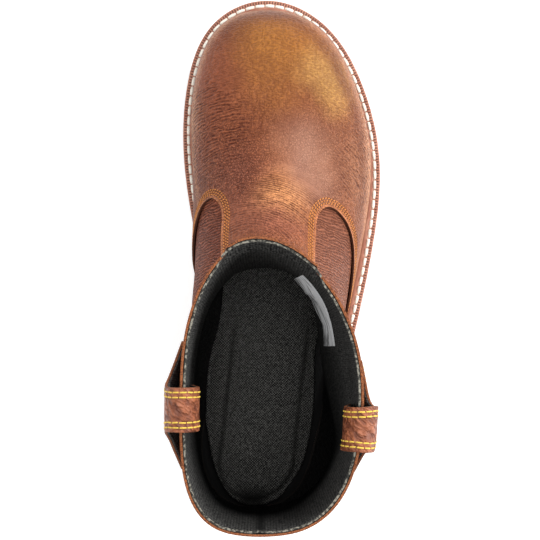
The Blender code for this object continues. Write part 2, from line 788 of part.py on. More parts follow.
def build():
    for old in list(bpy.data.objects):
        bpy.data.objects.remove(old, do_unlink=True)
    rubber = material("dark rubber", (0.045, 0.033, 0.027), 0.75)
    welting = material("brick welting", (0.30, 0.115, 0.07), 0.6)
    panel_leather = material("panel leather", (0.20, 0.065, 0.035), 0.5)
    vamp_leather = material("vamp leather", (0.30, 0.105, 0.04), 0.45)
    footbed = material("black footbed", (0.012, 0.012, 0.012), 0.95)

    root = bpy.data.objects.new("boot", None)
    bpy.context.scene.collection.objects.link(root)

    outsole = add_piece("outsole", outsole_solid(), rubber, root)
    heel = add_piece("heel", heel_solid(), rubber, root)
    cut(outsole, add_piece("forefoot_groove_tool", forefoot_grooves(), None, root))
    cut(heel, add_piece("heel_groove_tool", heel_grooves(), None, root))
    pieces = [outsole, heel, add_piece("welt", welt_solid(), welting, root)]
    pieces.append(add_piece("insole", insole_solid(), footbed, root))

    points, faces, blocks = upper_mesh()
    normals = outward(points, faces)
    upper = thicken(points, faces, normals, -WALL, 0.0)
    pieces.append(add_piece("upper", upper, panel_leather, root))
    vamp_faces = [face for face, block in zip(faces, blocks) if block != "panel"]
    vamp = thicken(points, vamp_faces, normals, GAP, GAP + VAMP_THICK)
    pieces.append(add_piece("vamp", vamp, vamp_leather, root))
    for side in ("medial", "lateral"):
        strap = strap_solid(side, points, faces)
        pieces.append(add_piece(f"pull_strap_{side}", strap, panel_leather, root))
    centre_on_floor(root, pieces)


build()
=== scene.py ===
import math

import bmesh
import bpy
import numpy as np
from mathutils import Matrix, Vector, noise
from mathutils.bvhtree import BVHTree
from mathutils.kdtree import KDTree


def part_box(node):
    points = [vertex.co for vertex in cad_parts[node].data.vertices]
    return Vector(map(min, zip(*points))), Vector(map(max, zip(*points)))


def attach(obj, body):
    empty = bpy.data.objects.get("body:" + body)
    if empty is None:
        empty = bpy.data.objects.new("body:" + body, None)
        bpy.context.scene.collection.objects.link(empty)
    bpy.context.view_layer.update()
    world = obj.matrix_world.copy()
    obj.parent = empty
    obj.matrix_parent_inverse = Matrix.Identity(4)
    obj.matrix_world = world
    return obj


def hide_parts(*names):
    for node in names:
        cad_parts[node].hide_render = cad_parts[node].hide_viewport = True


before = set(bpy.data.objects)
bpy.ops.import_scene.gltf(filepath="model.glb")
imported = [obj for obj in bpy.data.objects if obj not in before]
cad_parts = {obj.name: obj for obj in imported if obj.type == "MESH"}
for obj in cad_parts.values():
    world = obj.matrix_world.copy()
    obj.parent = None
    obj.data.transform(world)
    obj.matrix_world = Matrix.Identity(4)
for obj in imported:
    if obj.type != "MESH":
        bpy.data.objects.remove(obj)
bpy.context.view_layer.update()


# Outsole and heel
# The outsole is one dark rubber moulding with its lugs, and the heel is a block of the same rubber
# fixed under it. Both keep the solids' form, with rounded mould edges and a fine moulded skin. The
# outsole's top is black where it shows beside the footbed.
MM = 0.001
MOULD_EDGE = 0.4 * MM
RUBBER_DARK = (0.020, 0.016, 0.014, 1)
RUBBER_DUSTY = (0.045, 0.037, 0.031, 1)
SEAT_BLACK = (0.004, 0.004, 0.004, 1)
SEAT_HEIGHT, SEAT_LEVEL = 28 * MM, 0.8  # lowest height and least upward turn of the black faces


class Paint:
    """A value that changes over a surface: sums on it add Math nodes to its material."""

    def __init__(self, tree, socket):
        self.tree = tree
        self.socket = socket

    def node(self, kind, settings, sockets, output=0):
        """Add a node, set it up, feed its sockets with values or links, and give one output."""
        added = self.tree.nodes.new(kind)
        for name, value in settings.items():
            setattr(added, name, value)
        for name, value in sockets.items():
            if isinstance(value, Paint):
                self.tree.links.new(value.socket, added.inputs[name])
            else:
                added.inputs[name].default_value = value
        return Paint(self.tree, added.outputs[output])

    def maths(self, operation, *values):
        return self.node("ShaderNodeMath", {"operation": operation}, dict(enumerate(values)))

    def __add__(self, other):
        return self.maths("ADD", self, other)

    def __sub__(self, other):
        return self.maths("SUBTRACT", self, other)

    def __rsub__(self, other):
        return self.maths("SUBTRACT", other, self)

    def __mul__(self, other):
        return self.maths("MULTIPLY", self, other)

    def __pow__(self, other):
        return self.maths("POWER", self, other)

    __radd__ = __add__
    __rmul__ = __mul__


def new_finish(name, even):
    """A material with its even shader values set, and the place on the surface in metres."""
    made = bpy.data.materials.new(name)
    made.use_nodes = True
    shader = made.node_tree.nodes["Principled BSDF"]
    for socket, value in even.items():
        shader.inputs[socket].default_value = value
    place = Paint(made.node_tree, None).node("ShaderNodeTexCoord", {}, {}, "Object")
    return made, place


def lay_on(made, varied, relief=None, depth=0.0):
    """Feed a material's shader with what varies, and with a relief of this depth in metres."""
    tree = made.node_tree
    shader = tree.nodes["Principled BSDF"]
    for socket, paint in varied.items():
        tree.links.new(paint.socket, shader.inputs[socket])
    if relief is not None:
        bump = relief.node("ShaderNodeBump", {}, {"Height": relief, "Distance": depth})
        tree.links.new(bump.socket, shader.inputs["Normal"])


def clouds(place, size, detail=2.0):
    """Soft noise, 0 to 1, with patches of about this size in metres."""
    sockets = {"Vector": place, "Scale": 1 / size, "Detail": detail}
    return place.node("ShaderNodeTexNoise", {}, sockets)


def between(paint, low, high):
    """0 below low, 1 above high, and a smooth rise between them."""
    settings = {"interpolation_type": "SMOOTHSTEP"}
    sockets = {"Value": paint, "From Min": low, "From Max": high}
    return paint.node("ShaderNodeMapRange", settings, sockets)


def blended(share, first, second):
    """The first colour where share is 0, the second where it is 1."""
    return share.node("ShaderNodeMix", {"data_type": "RGBA"}, {0: share, 6: first, 7: second}, 2)


def moulded_rubber():
    made, place = new_finish("moulded_rubber", {"Specular IOR Level": 0.35})
    dust = between(clouds(place, 28 * MM, 4), 0.42, 0.72)
    skin_pores = clouds(place, 0.7 * MM, 3)
    varied = {
        "Base Color": blended(dust, RUBBER_DARK, RUBBER_DUSTY),
        "Roughness": 0.55 + 0.2 * dust + 0.1 * skin_pores,
    }
    lay_on(made, varied, skin_pores, 0.12 * MM)
    return made


def welded(node):
    """A CAD node's mesh with its corners joined again."""
    mesh = bmesh.new()
    mesh.from_mesh(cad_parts[node].data)
    bmesh.ops.remove_doubles(mesh, verts=mesh.verts, dist=0.001 * MM)
    return mesh


def paired(mesh):
    """Pair a mesh's triangles into quads."""
    bmesh.ops.join_triangles(
        mesh, faces=mesh.faces, angle_face_threshold=0.6, angle_shape_threshold=math.pi
    )


def add_piece(name, mesh, slot, *finishes):
    """A new piece of the boot on its one body, with its finishes. The slot is not used."""
    data = bpy.data.meshes.new(name)
    mesh.to_mesh(data)
    mesh.free()
    for finish in finishes:
        data.materials.append(finish)
    piece = bpy.data.objects.new(name, data)
    bpy.context.scene.collection.objects.link(piece)
    data.shade_smooth()
    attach(piece, "root")
    return piece


def work(piece, *steps):
    """Apply modifiers to a piece, each given as its kind and settings."""
    for kind, settings in steps:
        step = piece.modifiers.new(kind, kind)
        for name, value in settings.items():
            setattr(step, name, value)
    shaped = piece.evaluated_get(bpy.context.evaluated_depsgraph_get())
    before, piece.data = piece.data, bpy.data.meshes.new_from_object(shaped)
    piece.modifiers.clear()
    bpy.data.meshes.remove(before)


rubber = moulded_rubber()
seat_board, _ = new_finish("seat_board", {"Base Color": SEAT_BLACK, "Roughness": 0.95})
for node in ("outsole", "heel"):
    block = welded(node)
    paired(block)
    piece = add_piece(f"{node}_rubber", block, "rubber", rubber, seat_board)
    rounding = {"width": MOULD_EDGE, "segments": 2, "angle_limit": math.radians(35)}
    work(piece, ("BEVEL", rounding))
    piece.data.set_sharp_from_angle(angle=math.radians(40))
    for face in piece.data.polygons:
        if face.normal.z > SEAT_LEVEL and face.center.z > SEAT_HEIGHT:
            face.material_index = 1
    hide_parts(node)


# Welt
# A brick-brown leather strip sewn round the sole. A wheel has pressed fine ribs across its outer
# band, and its lockstitch in thick cream thread lies in a channel next to the upper. The ribs'
# valleys are painted dark as shade.
WELT_PROFILE = (
    # place, inset from the rim, height over the top, share of the ribs' depth
    ("inner underside", 7.5, -3.5, 0.0),
    ("underside", 0.6, -3.5, 0.0),
    ("lower edge", 0.0, -2.9, 0.0),
    ("wall", 0.0, -1.2, 0.0),
    ("upper edge", 0.15, -0.45, 0.3),
    ("rim", 0.6, 0.0, 0.7),
    ("ribbed band", 1.3, 0.05, 1.0),
    ("band end", 2.1, 0.0, 1.0),
    ("channel edge", 2.3, -0.1, 0.0),
    ("channel side", 2.5, -0.6, 0.0),
    ("channel bed", 3.2, -0.8, 0.0),
    ("channel far side", 3.9, -0.6, 0.0),
    ("channel far edge", 4.1, -0.1, 0.0),
    ("inner band", 4.6, 0.0, 0.0),
    ("inner edge", 7.5, 0.0, 0.0),
)
RIB_PITCH, RIB_DEPTH, RIB_COLUMNS = 1.66 * MM, 0.5 * MM, 6
WELT_STITCH = {"inset": 3.2, "pitch": 5.8, "length": 5.25, "width": 1.9, "height": 1.7, "rise": -0.1}
# the dark brick is painted shade for the ribs' valleys
BRICK, BRICK_RIB_SHADE = (0.36, 0.145, 0.092, 1), (0.075, 0.022, 0.014, 1)
BRICK_LIGHT = (0.48, 0.23, 0.155, 1)
CREAM = (1.0, 0.97, 0.87, 1)


def traced(edges):
    """Closed runs of edges, each as the ordered places of its corners."""
    left = dict.fromkeys(edges)
    runs = []
    while left:
        edge = next(iter(left))
        del left[edge]
        run = list(edge.verts)
        onward = True
        while onward:
            onward = [e for e in run[-1].link_edges if e in left]
            if onward:
                del left[onward[0]]
                run.append(onward[0].other_vert(run[-1]))
        runs.append(np.array([corner.co for corner in run[:-1]]))
    return runs


def smooth_run(points, closed):
    """A fine curve through points."""
    if closed:
        points = np.vstack([points[-1:], points, points[:2]])
    else:
        points = np.vstack([2 * points[0] - points[1], points, 2 * points[-1] - points[-2]])
    share = np.linspace(0, 1, 8, endpoint=False)[:, None]
    spans = []
    for before, start, end, after in zip(points, points[1:], points[2:], points[3:]):
        bend = 2 * before - 5 * start + 4 * end - after
        twist = 3 * (start - end) + after - before
        spans.append(start + 0.5 * ((end - before) * share + bend * share**2 + twist * share**3))
    return np.vstack(spans + [points[-2:-1]])


def length_along(path):
    return np.append(0, np.cumsum(np.linalg.norm(np.diff(path, axis=0), axis=1)))


def spaced(path, places):
    """Points at these lengths along a fine curve."""
    along = length_along(path)
    return np.column_stack([np.interp(places, along, axis) for axis in path.T])


def unit(vectors):
    return vectors / np.linalg.norm(vectors, axis=-1, keepdims=True)


def sole_rim():
    """The welt's outer top edge as a fine closed curve, anticlockwise from above."""
    mesh = welded("welt")
    runs = traced([e for e in mesh.edges if e.calc_face_angle() > math.radians(40)])
    mesh.free()
    spread = max(np.ptp(run[:, 0]) for run in runs)
    outer = [run for run in runs if np.ptp(run[:, 0]) > spread - 1 * MM]
    rim = max(outer, key=lambda run: run[:, 2].mean())
    across, along = rim[:, 0], rim[:, 1]
    turn = np.sum(across * np.roll(along, -1) - np.roll(across, -1) * along)
    return smooth_run(rim if turn > 0 else rim[::-1], True)


def inward_of(path):
    """Level directions from a closed anticlockwise curve to its inside."""
    heading = np.roll(path, -1, axis=0) - np.roll(path, 1, axis=0)
    return unit(np.column_stack([-heading[:, 1], heading[:, 0], np.zeros(len(path))]))


def grid_mesh(rings, closed):
    """A mesh through rows of points, each as long as the next, closed both ways or open."""
    count, across = len(rings), len(rings[0])
    mesh = bmesh.new()
    corners = [[mesh.verts.new(point) for point in ring] for ring in rings]
    for row in range(count if closed else count - 1):
        for column in range(across if closed else across - 1):
            here, there = corners[row], corners[(row + 1) % count]
            onward = (column + 1) % across
            mesh.faces.new((here[column], there[column], there[onward], here[onward]))
    return mesh


def add_values(piece, name, values):
    """Keep a number for each corner of a piece's mesh, for its finish to read."""
    layer = piece.data.attributes.new(name, "FLOAT", "POINT")
    layer.data.foreach_set("value", np.asarray(values, np.float32))


def value_of(place, name):
    """A number that was kept for each corner of the mesh."""
    return place.node("ShaderNodeAttribute", {"attribute_name": name}, {}, "Fac")


def welt_strip():
    rim = sole_rim()
    length = length_along(rim)[-1]
    ribs = round(length / RIB_PITCH)
    places = np.linspace(0, length, ribs * RIB_COLUMNS, endpoint=False)
    edge = spaced(rim, places)
    inward = inward_of(edge)
    dip = 0.5 - 0.5 * np.cos(2 * math.pi * np.arange(len(edge)) / RIB_COLUMNS)
    rings, valleys = [], []
    for _, inset, rise, ribbed in WELT_PROFILE:
        ring = edge + inward * inset * MM
        ring[:, 2] += rise * MM - RIB_DEPTH * ribbed * dip
        rings.append(ring)
        valleys.append(ribbed * dip)
    rows = np.stack(rings, axis=1)
    return grid_mesh(rows, True), np.stack(valleys, axis=1).ravel()


def welt_leather():
    made, place = new_finish("welt_leather", {"Specular IOR Level": 0.4})
    valley = value_of(place, "valley")
    wear = between(clouds(place, 9 * MM, 4), 0.40, 0.70)
    fibre = clouds(place, 0.5 * MM, 3)
    face = blended(wear, BRICK, BRICK_LIGHT)
    varied = {
        # painted shade in the ribs' valleys
        "Base Color": blended(between(valley, 0.25, 0.95), face, BRICK_RIB_SHADE),
        "Roughness": 0.45 + 0.25 * fibre,
    }
    lay_on(made, varied, fibre, 0.15 * MM)
    return made


def thread(name, colour):
    made, place = new_finish(name, {"Specular IOR Level": 0.3})
    strands = clouds(place, 0.45 * MM, 2)
    shade = tuple(0.75 * part for part in colour[:3]) + (1,)
    varied = {
        "Base Color": blended(between(strands, 0.35, 0.6), shade, colour),
        "Roughness": 0.55 + 0.2 * strands,
    }
    lay_on(made, varied, strands, 0.25 * MM)
    return made


STITCH_RINGS = (
    # place along a stitch from end to end, share of its width
    (-1.0, 0.6), (-0.88, 0.95), (-0.3, 1.0), (0.3, 1.0), (0.88, 0.95), (1.0, 0.6)
)
STITCH_SIDES = 8


def stitches(places, normals, headings, length, width, height):
    """Short plump stitches that dip at their ends, joined in one mesh; sizes in metres."""
    normals = unit(normals)
    across = unit(np.cross(normals, headings))
    headings = np.cross(across, normals)
    mesh = bmesh.new()
    turns = [2 * math.pi * side / STITCH_SIDES for side in range(STITCH_SIDES)]
    for place, up, side, ahead in zip(places, normals, across, headings):
        rings = []
        for step, swell in STITCH_RINGS:
            middle = place + ahead * step * length / 2 - up * 0.45 * height * step**4
            ring = [
                middle + swell / 2 * (side * width * math.cos(t) + up * height * math.sin(t))
                for t in turns
            ]
            rings.append([mesh.verts.new(point) for point in ring])
        for here, there in zip(rings, rings[1:]):
            for start in range(STITCH_SIDES):
                end = (start + 1) % STITCH_SIDES
                mesh.faces.new((here[start], here[end], there[end], there[start]))
        mesh.faces.new(rings[0][::-1])
        mesh.faces.new(rings[-1])
    return mesh


strip, valleys = welt_strip()
welt = add_piece("welt_strip", strip, "welting", welt_leather())
add_values(welt, "valley", valleys)
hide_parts("welt")

stitch_line = sole_rim()
stitch_line = stitch_line[:-1] + inward_of(stitch_line[:-1]) * WELT_STITCH["inset"] * MM
stitch_line = np.vstack([stitch_line, stitch_line[:1]])
stitch_count = round(length_along(stitch_line)[-1] / (WELT_STITCH["pitch"] * MM))
stitch_step = length_along(stitch_line)[-1] / stitch_count
stitch_places = spaced(stitch_line, (np.arange(stitch_count) + 0.5) * stitch_step)
stitch_ahead = np.roll(stitch_places, -1, axis=0) - np.roll(stitch_places, 1, axis=0)
stitch_places[:, 2] += WELT_STITCH["rise"] * MM
lockstitch = stitches(
    stitch_places,
    np.tile([0.0, 0.0, 1.0], (stitch_count, 1)),
    unit(stitch_ahead),
    *(WELT_STITCH[size] * MM for size in ("length", "width", "height")),
)
add_piece("welt_lockstitch", lockstitch, "welting", thread("cream_thread", CREAM))


# Insole
# A moulded foam footbed covered in black heather fabric, with a raised edge and a heel cup. A groove
# runs along the foot of the edge with painted shade in it, and the edge behind the heel is dark
# with a painted shadow. The footbed lies loose inside the upper.
FABRIC_BLACK, FABRIC_GREY = (0.014, 0.014, 0.013, 1), (0.34, 0.335, 0.315, 1)
WEAVE_PITCH = 1.05 * MM
RIM_GROOVE = {
    # the line at the foot of the raised edge: two sides joined by a half round at the heel, in mm
    "middle": -13.6, "drift": 0.11, "heel_turn": -116.0, "radius": 21.0, "half_width": 2.2,
    "fades_from": -52.0, "gone_at": -26.0,
}
# Painted shadow in the heel cup: where it fades across the heel, and how far in from the groove it
# starts
HEEL_SHADOW_FADE = (3 * MM, 13 * MM)  # off the heel's middle: the dark fades from here to here
HEEL_SHADOW_INSIDE = 8.8 * MM  # how far in from the groove the dark starts


def axis_of(place, axis):
    """The place along X, Y or Z, in metres."""
    return place.node("ShaderNodeSeparateXYZ", {}, {0: place}, axis)


def footbed_fabric():
    made, place = new_finish("footbed_fabric", {"Specular IOR Level": 0.2, "Roughness": 0.9})
    sideways, forward = axis_of(place, "X"), axis_of(place, "Y")
    size = {name: value * MM for name, value in RIM_GROOVE.items()}
    ahead = forward - size["heel_turn"]
    across = sideways - size["middle"] - RIM_GROOVE["drift"] * ahead
    behind = place.maths("MINIMUM", ahead, 0.0)
    outside = (across * across + behind * behind) ** 0.5 - size["radius"]
    # the groove is cut into the relief and painted darker as its shade
    groove_and_shade = 1 - between(place.maths("ABSOLUTE", outside), 0.0, size["half_width"])
    groove_and_shade = groove_and_shade * (1 - between(forward, size["fades_from"], size["gone_at"]))
    aside = place.maths("ABSOLUTE", across)
    # painted shadow over the edge behind the heel
    heel_shadow = between(outside, -HEEL_SHADOW_INSIDE, 0.0) * (1 - between(aside, *HEEL_SHADOW_FADE))
    heel_shadow = heel_shadow * between(-1 * ahead, 0.0, size["radius"] / 2)
    lean = {"Vector": place, "Rotation": (0, 0, math.radians(45))}
    turned = place.node("ShaderNodeMapping", {}, lean)
    checks = []
    for direction in ("X", "Y"):
        settings = {"wave_type": "BANDS", "bands_direction": direction}
        sockets = {"Vector": turned, "Scale": 0.314 / WEAVE_PITCH, "Distortion": 2.4, "Detail": 1.0}
        checks.append(place.node("ShaderNodeTexWave", settings, sockets))
    weave = checks[0] * checks[1]
    fluff = clouds(place, 1.0 * MM, 3)
    flecks = between(0.8 * fluff + 0.5 * weave, 0.32, 0.95)
    shade = flecks * (1 - 0.65 * groove_and_shade) * (1 - 0.9 * heel_shadow)
    colour = blended(shade, FABRIC_BLACK, FABRIC_GREY)
    lay_on(made, {"Base Color": colour}, fluff + weave - 2.5 * groove_and_shade, 0.4 * MM)
    return made


footbed = welded("insole")
paired(footbed)
insole = add_piece("footbed", footbed, "footbed", footbed_fabric())
edge_rounding = {"width": 1.2 * MM, "segments": 2, "angle_limit": math.radians(40)}
work(insole, ("BEVEL", edge_rounding), ("SUBSURF", {"levels": 2}))
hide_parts("insole")


# Upper: side panels and shaft
# Pebbled brown leather, raw cut at the collar and pulled under at the welt. The ankle has a few soft
# folds that run from the throat back round both sides.
PANEL_LEATHER_THICK = 1.3 * MM
FOLDS = (
    # place, start, middle and end in mm in the boot's frame, half width, depth
    ("lateral upper fold", (16, -2, 150), (37, -52, 131), (33, -108, 124), 6.5, 0.9),
    ("lateral lower fold", (22, 10, 122), (38, -36, 101), (37, -88, 90), 7.5, 0.8),
    ("medial upper fold", (-26, -4, 150), (-47, -52, 132), (-43, -108, 124), 6.5, 0.9),
    ("medial lower fold", (-32, 10, 120), (-49, -36, 99), (-51, -88, 90), 7.5, 0.8),
    ("throat fold", (-28, -8, 141), (-8, 4, 145), (14, -8, 141), 4.5, 0.6),
    ("lateral shaft fold", (30, -20, 196), (41, -60, 188), (38, -98, 192), 9.0, 0.6),
    ("medial shaft fold", (-34, -20, 190), (-47, -60, 184), (-45, -98, 190), 9.0, 0.6),
)
HAND_WAVE = {"size": 34.0, "height": 0.45, "starts": (60, 90), "grows_over": 30}
COLLAR_WAVE = {"turns": 9, "height": 0.5, "reach": 14.0}
COLLAR_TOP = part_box("upper")[1][2]
TUCKED_UNDER = 4 * MM  # how far the panels end below the collar behind the tongue
TUCK_REACH, TUCK_BAND = (1.5, 4.5), 12 * MM  # from the tongue in mm, and down from the collar
PANEL_GRAIN = {"cells": 1.9, "furrows": 1.5, "strokes": 1.1}  # pitches in mm
PANEL_WRINKLED, PANEL_CALM = (-60 * MM, -8 * MM), (-20 * MM, 20 * MM)  # along Y and along X
PANEL_DEEP, PANEL_WARM = (0.048, 0.011, 0.007, 1), (0.27, 0.072, 0.037, 1)
# the second colour here is laid on the lateral side as a painted sheen
PANEL_LIGHT, PANEL_SHEEN = (0.35, 0.106, 0.056, 1), (0.295, 0.122, 0.069, 1)
ARCHED = {"centre": (-5, -100, 150), "shape": (0.9, 1.0, 0.35)}
FLESH_SIDE = (0.014, 0.010, 0.008, 1)
CUT_EDGE, CUT_EDGE_DARK = (0.29, 0.096, 0.033, 1), (0.075, 0.022, 0.010, 1)


def patches(mesh, bend):
    """Groups of faces that meet at less than this angle, the largest first."""
    left = dict.fromkeys(mesh.faces)
    groups = []
    while left:
        group = [next(iter(left))]
        del left[group[0]]
        for face in group:
            for edge in face.edges:
                if edge.calc_face_angle() < bend:
                    fresh = [other for other in edge.link_faces if other in left]
                    for other in fresh:
                        del left[other]
                    group.extend(fresh)
        groups.append(group)
    return sorted(groups, key=lambda group: -sum(face.calc_area() for face in group))


def skin(node, layer):
    """One skin of a CAD shell in quads, without its rims: layer 0 is the outer, 1 the inner."""
    mesh = welded(node)
    kept = set(patches(mesh, math.radians(45))[layer])
    rest = [face for face in mesh.faces if face not in kept]
    bmesh.ops.delete(mesh, geom=rest, context="FACES")
    paired(mesh)
    return mesh


def corners_of(piece):
    """Places and outward directions of a piece's corners."""
    mesh = piece.data
    places = np.empty(len(mesh.vertices) * 3)
    mesh.vertices.foreach_get("co", places)
    normals = np.array([corner.vector for corner in mesh.vertex_normals])
    return places.reshape(-1, 3), normals


def put_corners(piece, places):
    piece.data.vertices.foreach_set("co", places.ravel())
    piece.data.update()


def relax(piece, rounds):
    """Even out a skin inside its edges."""
    mesh = bmesh.new()
    mesh.from_mesh(piece.data)
    inner = [corner for corner in mesh.verts if not corner.is_boundary]
    for _ in range(rounds):
        bmesh.ops.smooth_vert(
            mesh, verts=inner, factor=0.5, use_axis_x=True, use_axis_y=True, use_axis_z=True
        )
    mesh.to_mesh(piece.data)
    mesh.free()


def tree_of(piece):
    mesh = piece.data
    faces = [tuple(face.vertices) for face in mesh.polygons]
    return BVHTree.FromPolygons([corner.co for corner in mesh.vertices], faces)


def drawn_on(tree, points):
    """Points moved to the nearest places of a surface, and its directions there."""
    found = [tree.find_nearest(Vector(point)) for point in points]
    return np.array([hit[0] for hit in found]), np.array([hit[1] for hit in found])


def fold_paths(tree):
    """Each fold as points along the leather, its half width and its depth."""
    share = np.linspace(0, 1, 60)[:, None]
    for _, start, middle, end, half_width, depth in FOLDS:
        start, middle, end = (np.array(point) * MM for point in (start, middle, end))
        bend = 2 * middle - (start + end) / 2
        arc = start * (1 - share) ** 2 + bend * 2 * share * (1 - share) + end * share**2
        yield drawn_on(tree, arc)[0], half_width * MM, depth * MM


def handled(places, normals):
    """Leather as it stands after handling: soft folds, slow waves and an uneven collar."""
    lift = np.zeros(len(places))
    for path, half_width, depth in folds:
        away = np.linalg.norm(places[:, None] - path[None], axis=2)
        nearest = away.argmin(axis=1)
        off = away.min(axis=1) / half_width
        taper = np.sin(math.pi * np.clip(nearest / (len(path) - 1), 0, 1)) ** 0.7
        ridge = np.exp(-((off - 2.0) ** 2))
        lift += depth * taper * (0.45 * ridge - np.exp(-(off**2)))
    size = HAND_WAVE["size"] * MM
    waves = np.array([noise.noise(Vector(place) / size) for place in places])
    low, high = (
        np.clip((places[:, 2] - start * MM) / (HAND_WAVE["grows_over"] * MM), 0, 1)
        for start in HAND_WAVE["starts"]
    )
    lift += HAND_WAVE["height"] * MM * waves * (0.25 + 0.75 * low * high)
    moved = places + normals * lift[:, None]
    middle = places[:, :2].mean(axis=0)
    turn = np.arctan2(places[:, 1] - middle[1], places[:, 0] - middle[0])
    near_top = np.clip(1 - (COLLAR_TOP - places[:, 2]) / (COLLAR_WAVE["reach"] * MM), 0, 1)
    wave = np.sin(turn * COLLAR_WAVE["turns"]) + 0.6 * np.sin(turn * 17 + 1)
    moved[:, 2] += COLLAR_WAVE["height"] * MM * near_top**2 * (0.5 * wave - 0.6)
    return moved


def behind_tongue(places, near, far):
    """1 at the collar's edge near the tongue, 0 further from it and below; distances in mm."""
    away = np.array([tongue_tree.find_nearest(Vector(place))[3] for place in places])
    near_top = np.clip(1 - (COLLAR_TOP - places[:, 2]) / TUCK_BAND, 0, 1)
    return near_top * np.clip((far * MM - away) / ((far - near) * MM), 0, 1)


def rings_of(place, centre):
    """Distance from a point of the boot, given in mm, in metres."""
    sockets = {0: place, 1: tuple(part * MM for part in centre)}
    return place.node("ShaderNodeVectorMath", {"operation": "DISTANCE"}, sockets, "Value")


def scaled(place, across, along, up):
    sockets = {0: place, 1: (across, along, up)}
    return place.node("ShaderNodeVectorMath", {"operation": "MULTIPLY"}, sockets)


def shaken(place, size, reach):
    """The place moved about by noise, so that cells and lines lose their evenness."""
    sockets = {"Vector": place, "Scale": 1 / size, "Detail": 2.0}
    drift = place.node("ShaderNodeTexNoise", {}, sockets, "Color")
    sockets = {0: drift, 1: (reach, reach, reach), 2: place}
    return place.node("ShaderNodeVectorMath", {"operation": "MULTIPLY_ADD"}, sockets)


def pebbles(place, size):
    """Domed grain cells of this size, 1 on top and 0 in their thin valleys."""
    uneven = shaken(place, size * 2.5, size * 0.9)
    settings = {"feature": "DISTANCE_TO_EDGE"}
    cells = place.node("ShaderNodeTexVoronoi", settings, {"Vector": uneven, "Scale": 1 / size})
    return between(cells, 0.0, 0.26)


def wrinkle_run(place, centre, shape, stretch):
    """The place with its first axis across wrinkles that arch round a centre."""
    away = rings_of(scaled(place, *shape), tuple(part * share for part, share in zip(centre, shape)))
    across = axis_of(place, "X")
    up = axis_of(place, "Z")
    sockets = {"X": away, "Y": across * (1 / stretch), "Z": up * (1 / stretch)}
    return place.node("ShaderNodeCombineXYZ", {}, sockets)


def strokes(run, pitch, detail=1.0):
    """Short uneven strokes of this pitch, 1 on their ridges and 0 in their valleys."""
    return between(clouds(run, pitch, detail), 0.38, 0.62)


def furrows(run, pitch, unrest):
    """Long wrinkles side by side at this pitch, 1 on their ridges and 0 in their valleys."""
    settings = {"wave_type": "BANDS", "bands_direction": "X"}
    sockets = {"Vector": run, "Scale": 0.314 / pitch, "Distortion": unrest, "Detail": 2.0}
    return run.node("ShaderNodeTexWave", settings, sockets)


def pebbled_leather():
    made, place = new_finish("panel_leather", {"Specular IOR Level": 0.08})
    in_front = between(axis_of(place, "Y"), *PANEL_WRINKLED)
    run = shaken(wrinkle_run(place, **ARCHED, stretch=2.2), 5 * MM, 3.0 * MM)
    lines = between(furrows(run, PANEL_GRAIN["furrows"] * MM, 6.0), 0.15, 0.80)
    drawn = 0.65 * lines + 0.35 * strokes(run, PANEL_GRAIN["strokes"] * MM, 2)
    cells = pebbles(place, PANEL_GRAIN["cells"] * MM)
    grain = cells + in_front * (0.15 * cells + 0.85 * drawn - cells)
    fine = clouds(place, 0.7 * MM, 3)
    mottle = between(clouds(place, 20 * MM, 5), 0.30, 0.70)
    body = blended(mottle, PANEL_WARM, PANEL_LIGHT)
    # the lateral side has calmer grain and is painted paler there, a painted sheen where the key light
    # falls
    calm = between(axis_of(place, "X"), *PANEL_CALM)
    body = blended(0.6 * calm, body, PANEL_SHEEN)
    # the grain's valleys and the wrinkles are painted darker as their shade, as well as cut into the
    # relief
    low = (1 - grain) * (1.1 - 0.2 * calm) * (0.5 + 0.5 * in_front)
    varied = {
        "Base Color": blended(0.85 * low + 0.2 * (fine - 0.5), body, PANEL_DEEP),
        "Roughness": 0.42 + 0.12 * fine + 0.16 * low,
    }
    lay_on(made, varied, 0.25 * fine - low, 1.3 * MM)
    return made


def cut_leather():
    made, place = new_finish("cut_leather_edge", {"Specular IOR Level": 0.25, "Roughness": 0.8})
    fibre = clouds(place, 0.7 * MM, 4)
    colour = blended(between(fibre, 0.3, 0.65), CUT_EDGE_DARK, CUT_EDGE)
    lay_on(made, {"Base Color": colour}, fibre, 0.3 * MM)
    return made


def thick(depth):
    """Grow a skin inward to a sheet: its cut edge takes the second finish and its back the third."""
    body = {"thickness": depth, "offset": -1, "material_offset_rim": 1, "material_offset": 2}
    edges = {"width": 0.35 * MM, "segments": 2, "angle_limit": math.radians(60)}
    return ("SOLIDIFY", body), ("BEVEL", edges)


SUBDIVIDED = ("SUBSURF", {"levels": 2, "boundary_smooth": "PRESERVE_CORNERS"})

panel_leather = pebbled_leather()
cut_edge = cut_leather()
flesh_side, _ = new_finish("flesh_side", {"Base Color": FLESH_SIDE, "Roughness": 0.95})
panel_finishes = panel_leather, cut_edge, flesh_side
panels = add_piece("side_panels", skin("upper", 0), "panel_leather", *panel_finishes)
work(panels, SUBDIVIDED)
relax(panels, 8)
tongue_tree = tree_of(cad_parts["vamp"])
folds = list(fold_paths(tree_of(panels)))
panel_places = handled(*corners_of(panels))
panel_places[:, 2] -= TUCKED_UNDER * behind_tongue(panel_places, *TUCK_REACH)
put_corners(panels, panel_places)
work(panels, *thick(PANEL_LEATHER_THICK))
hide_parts("upper")


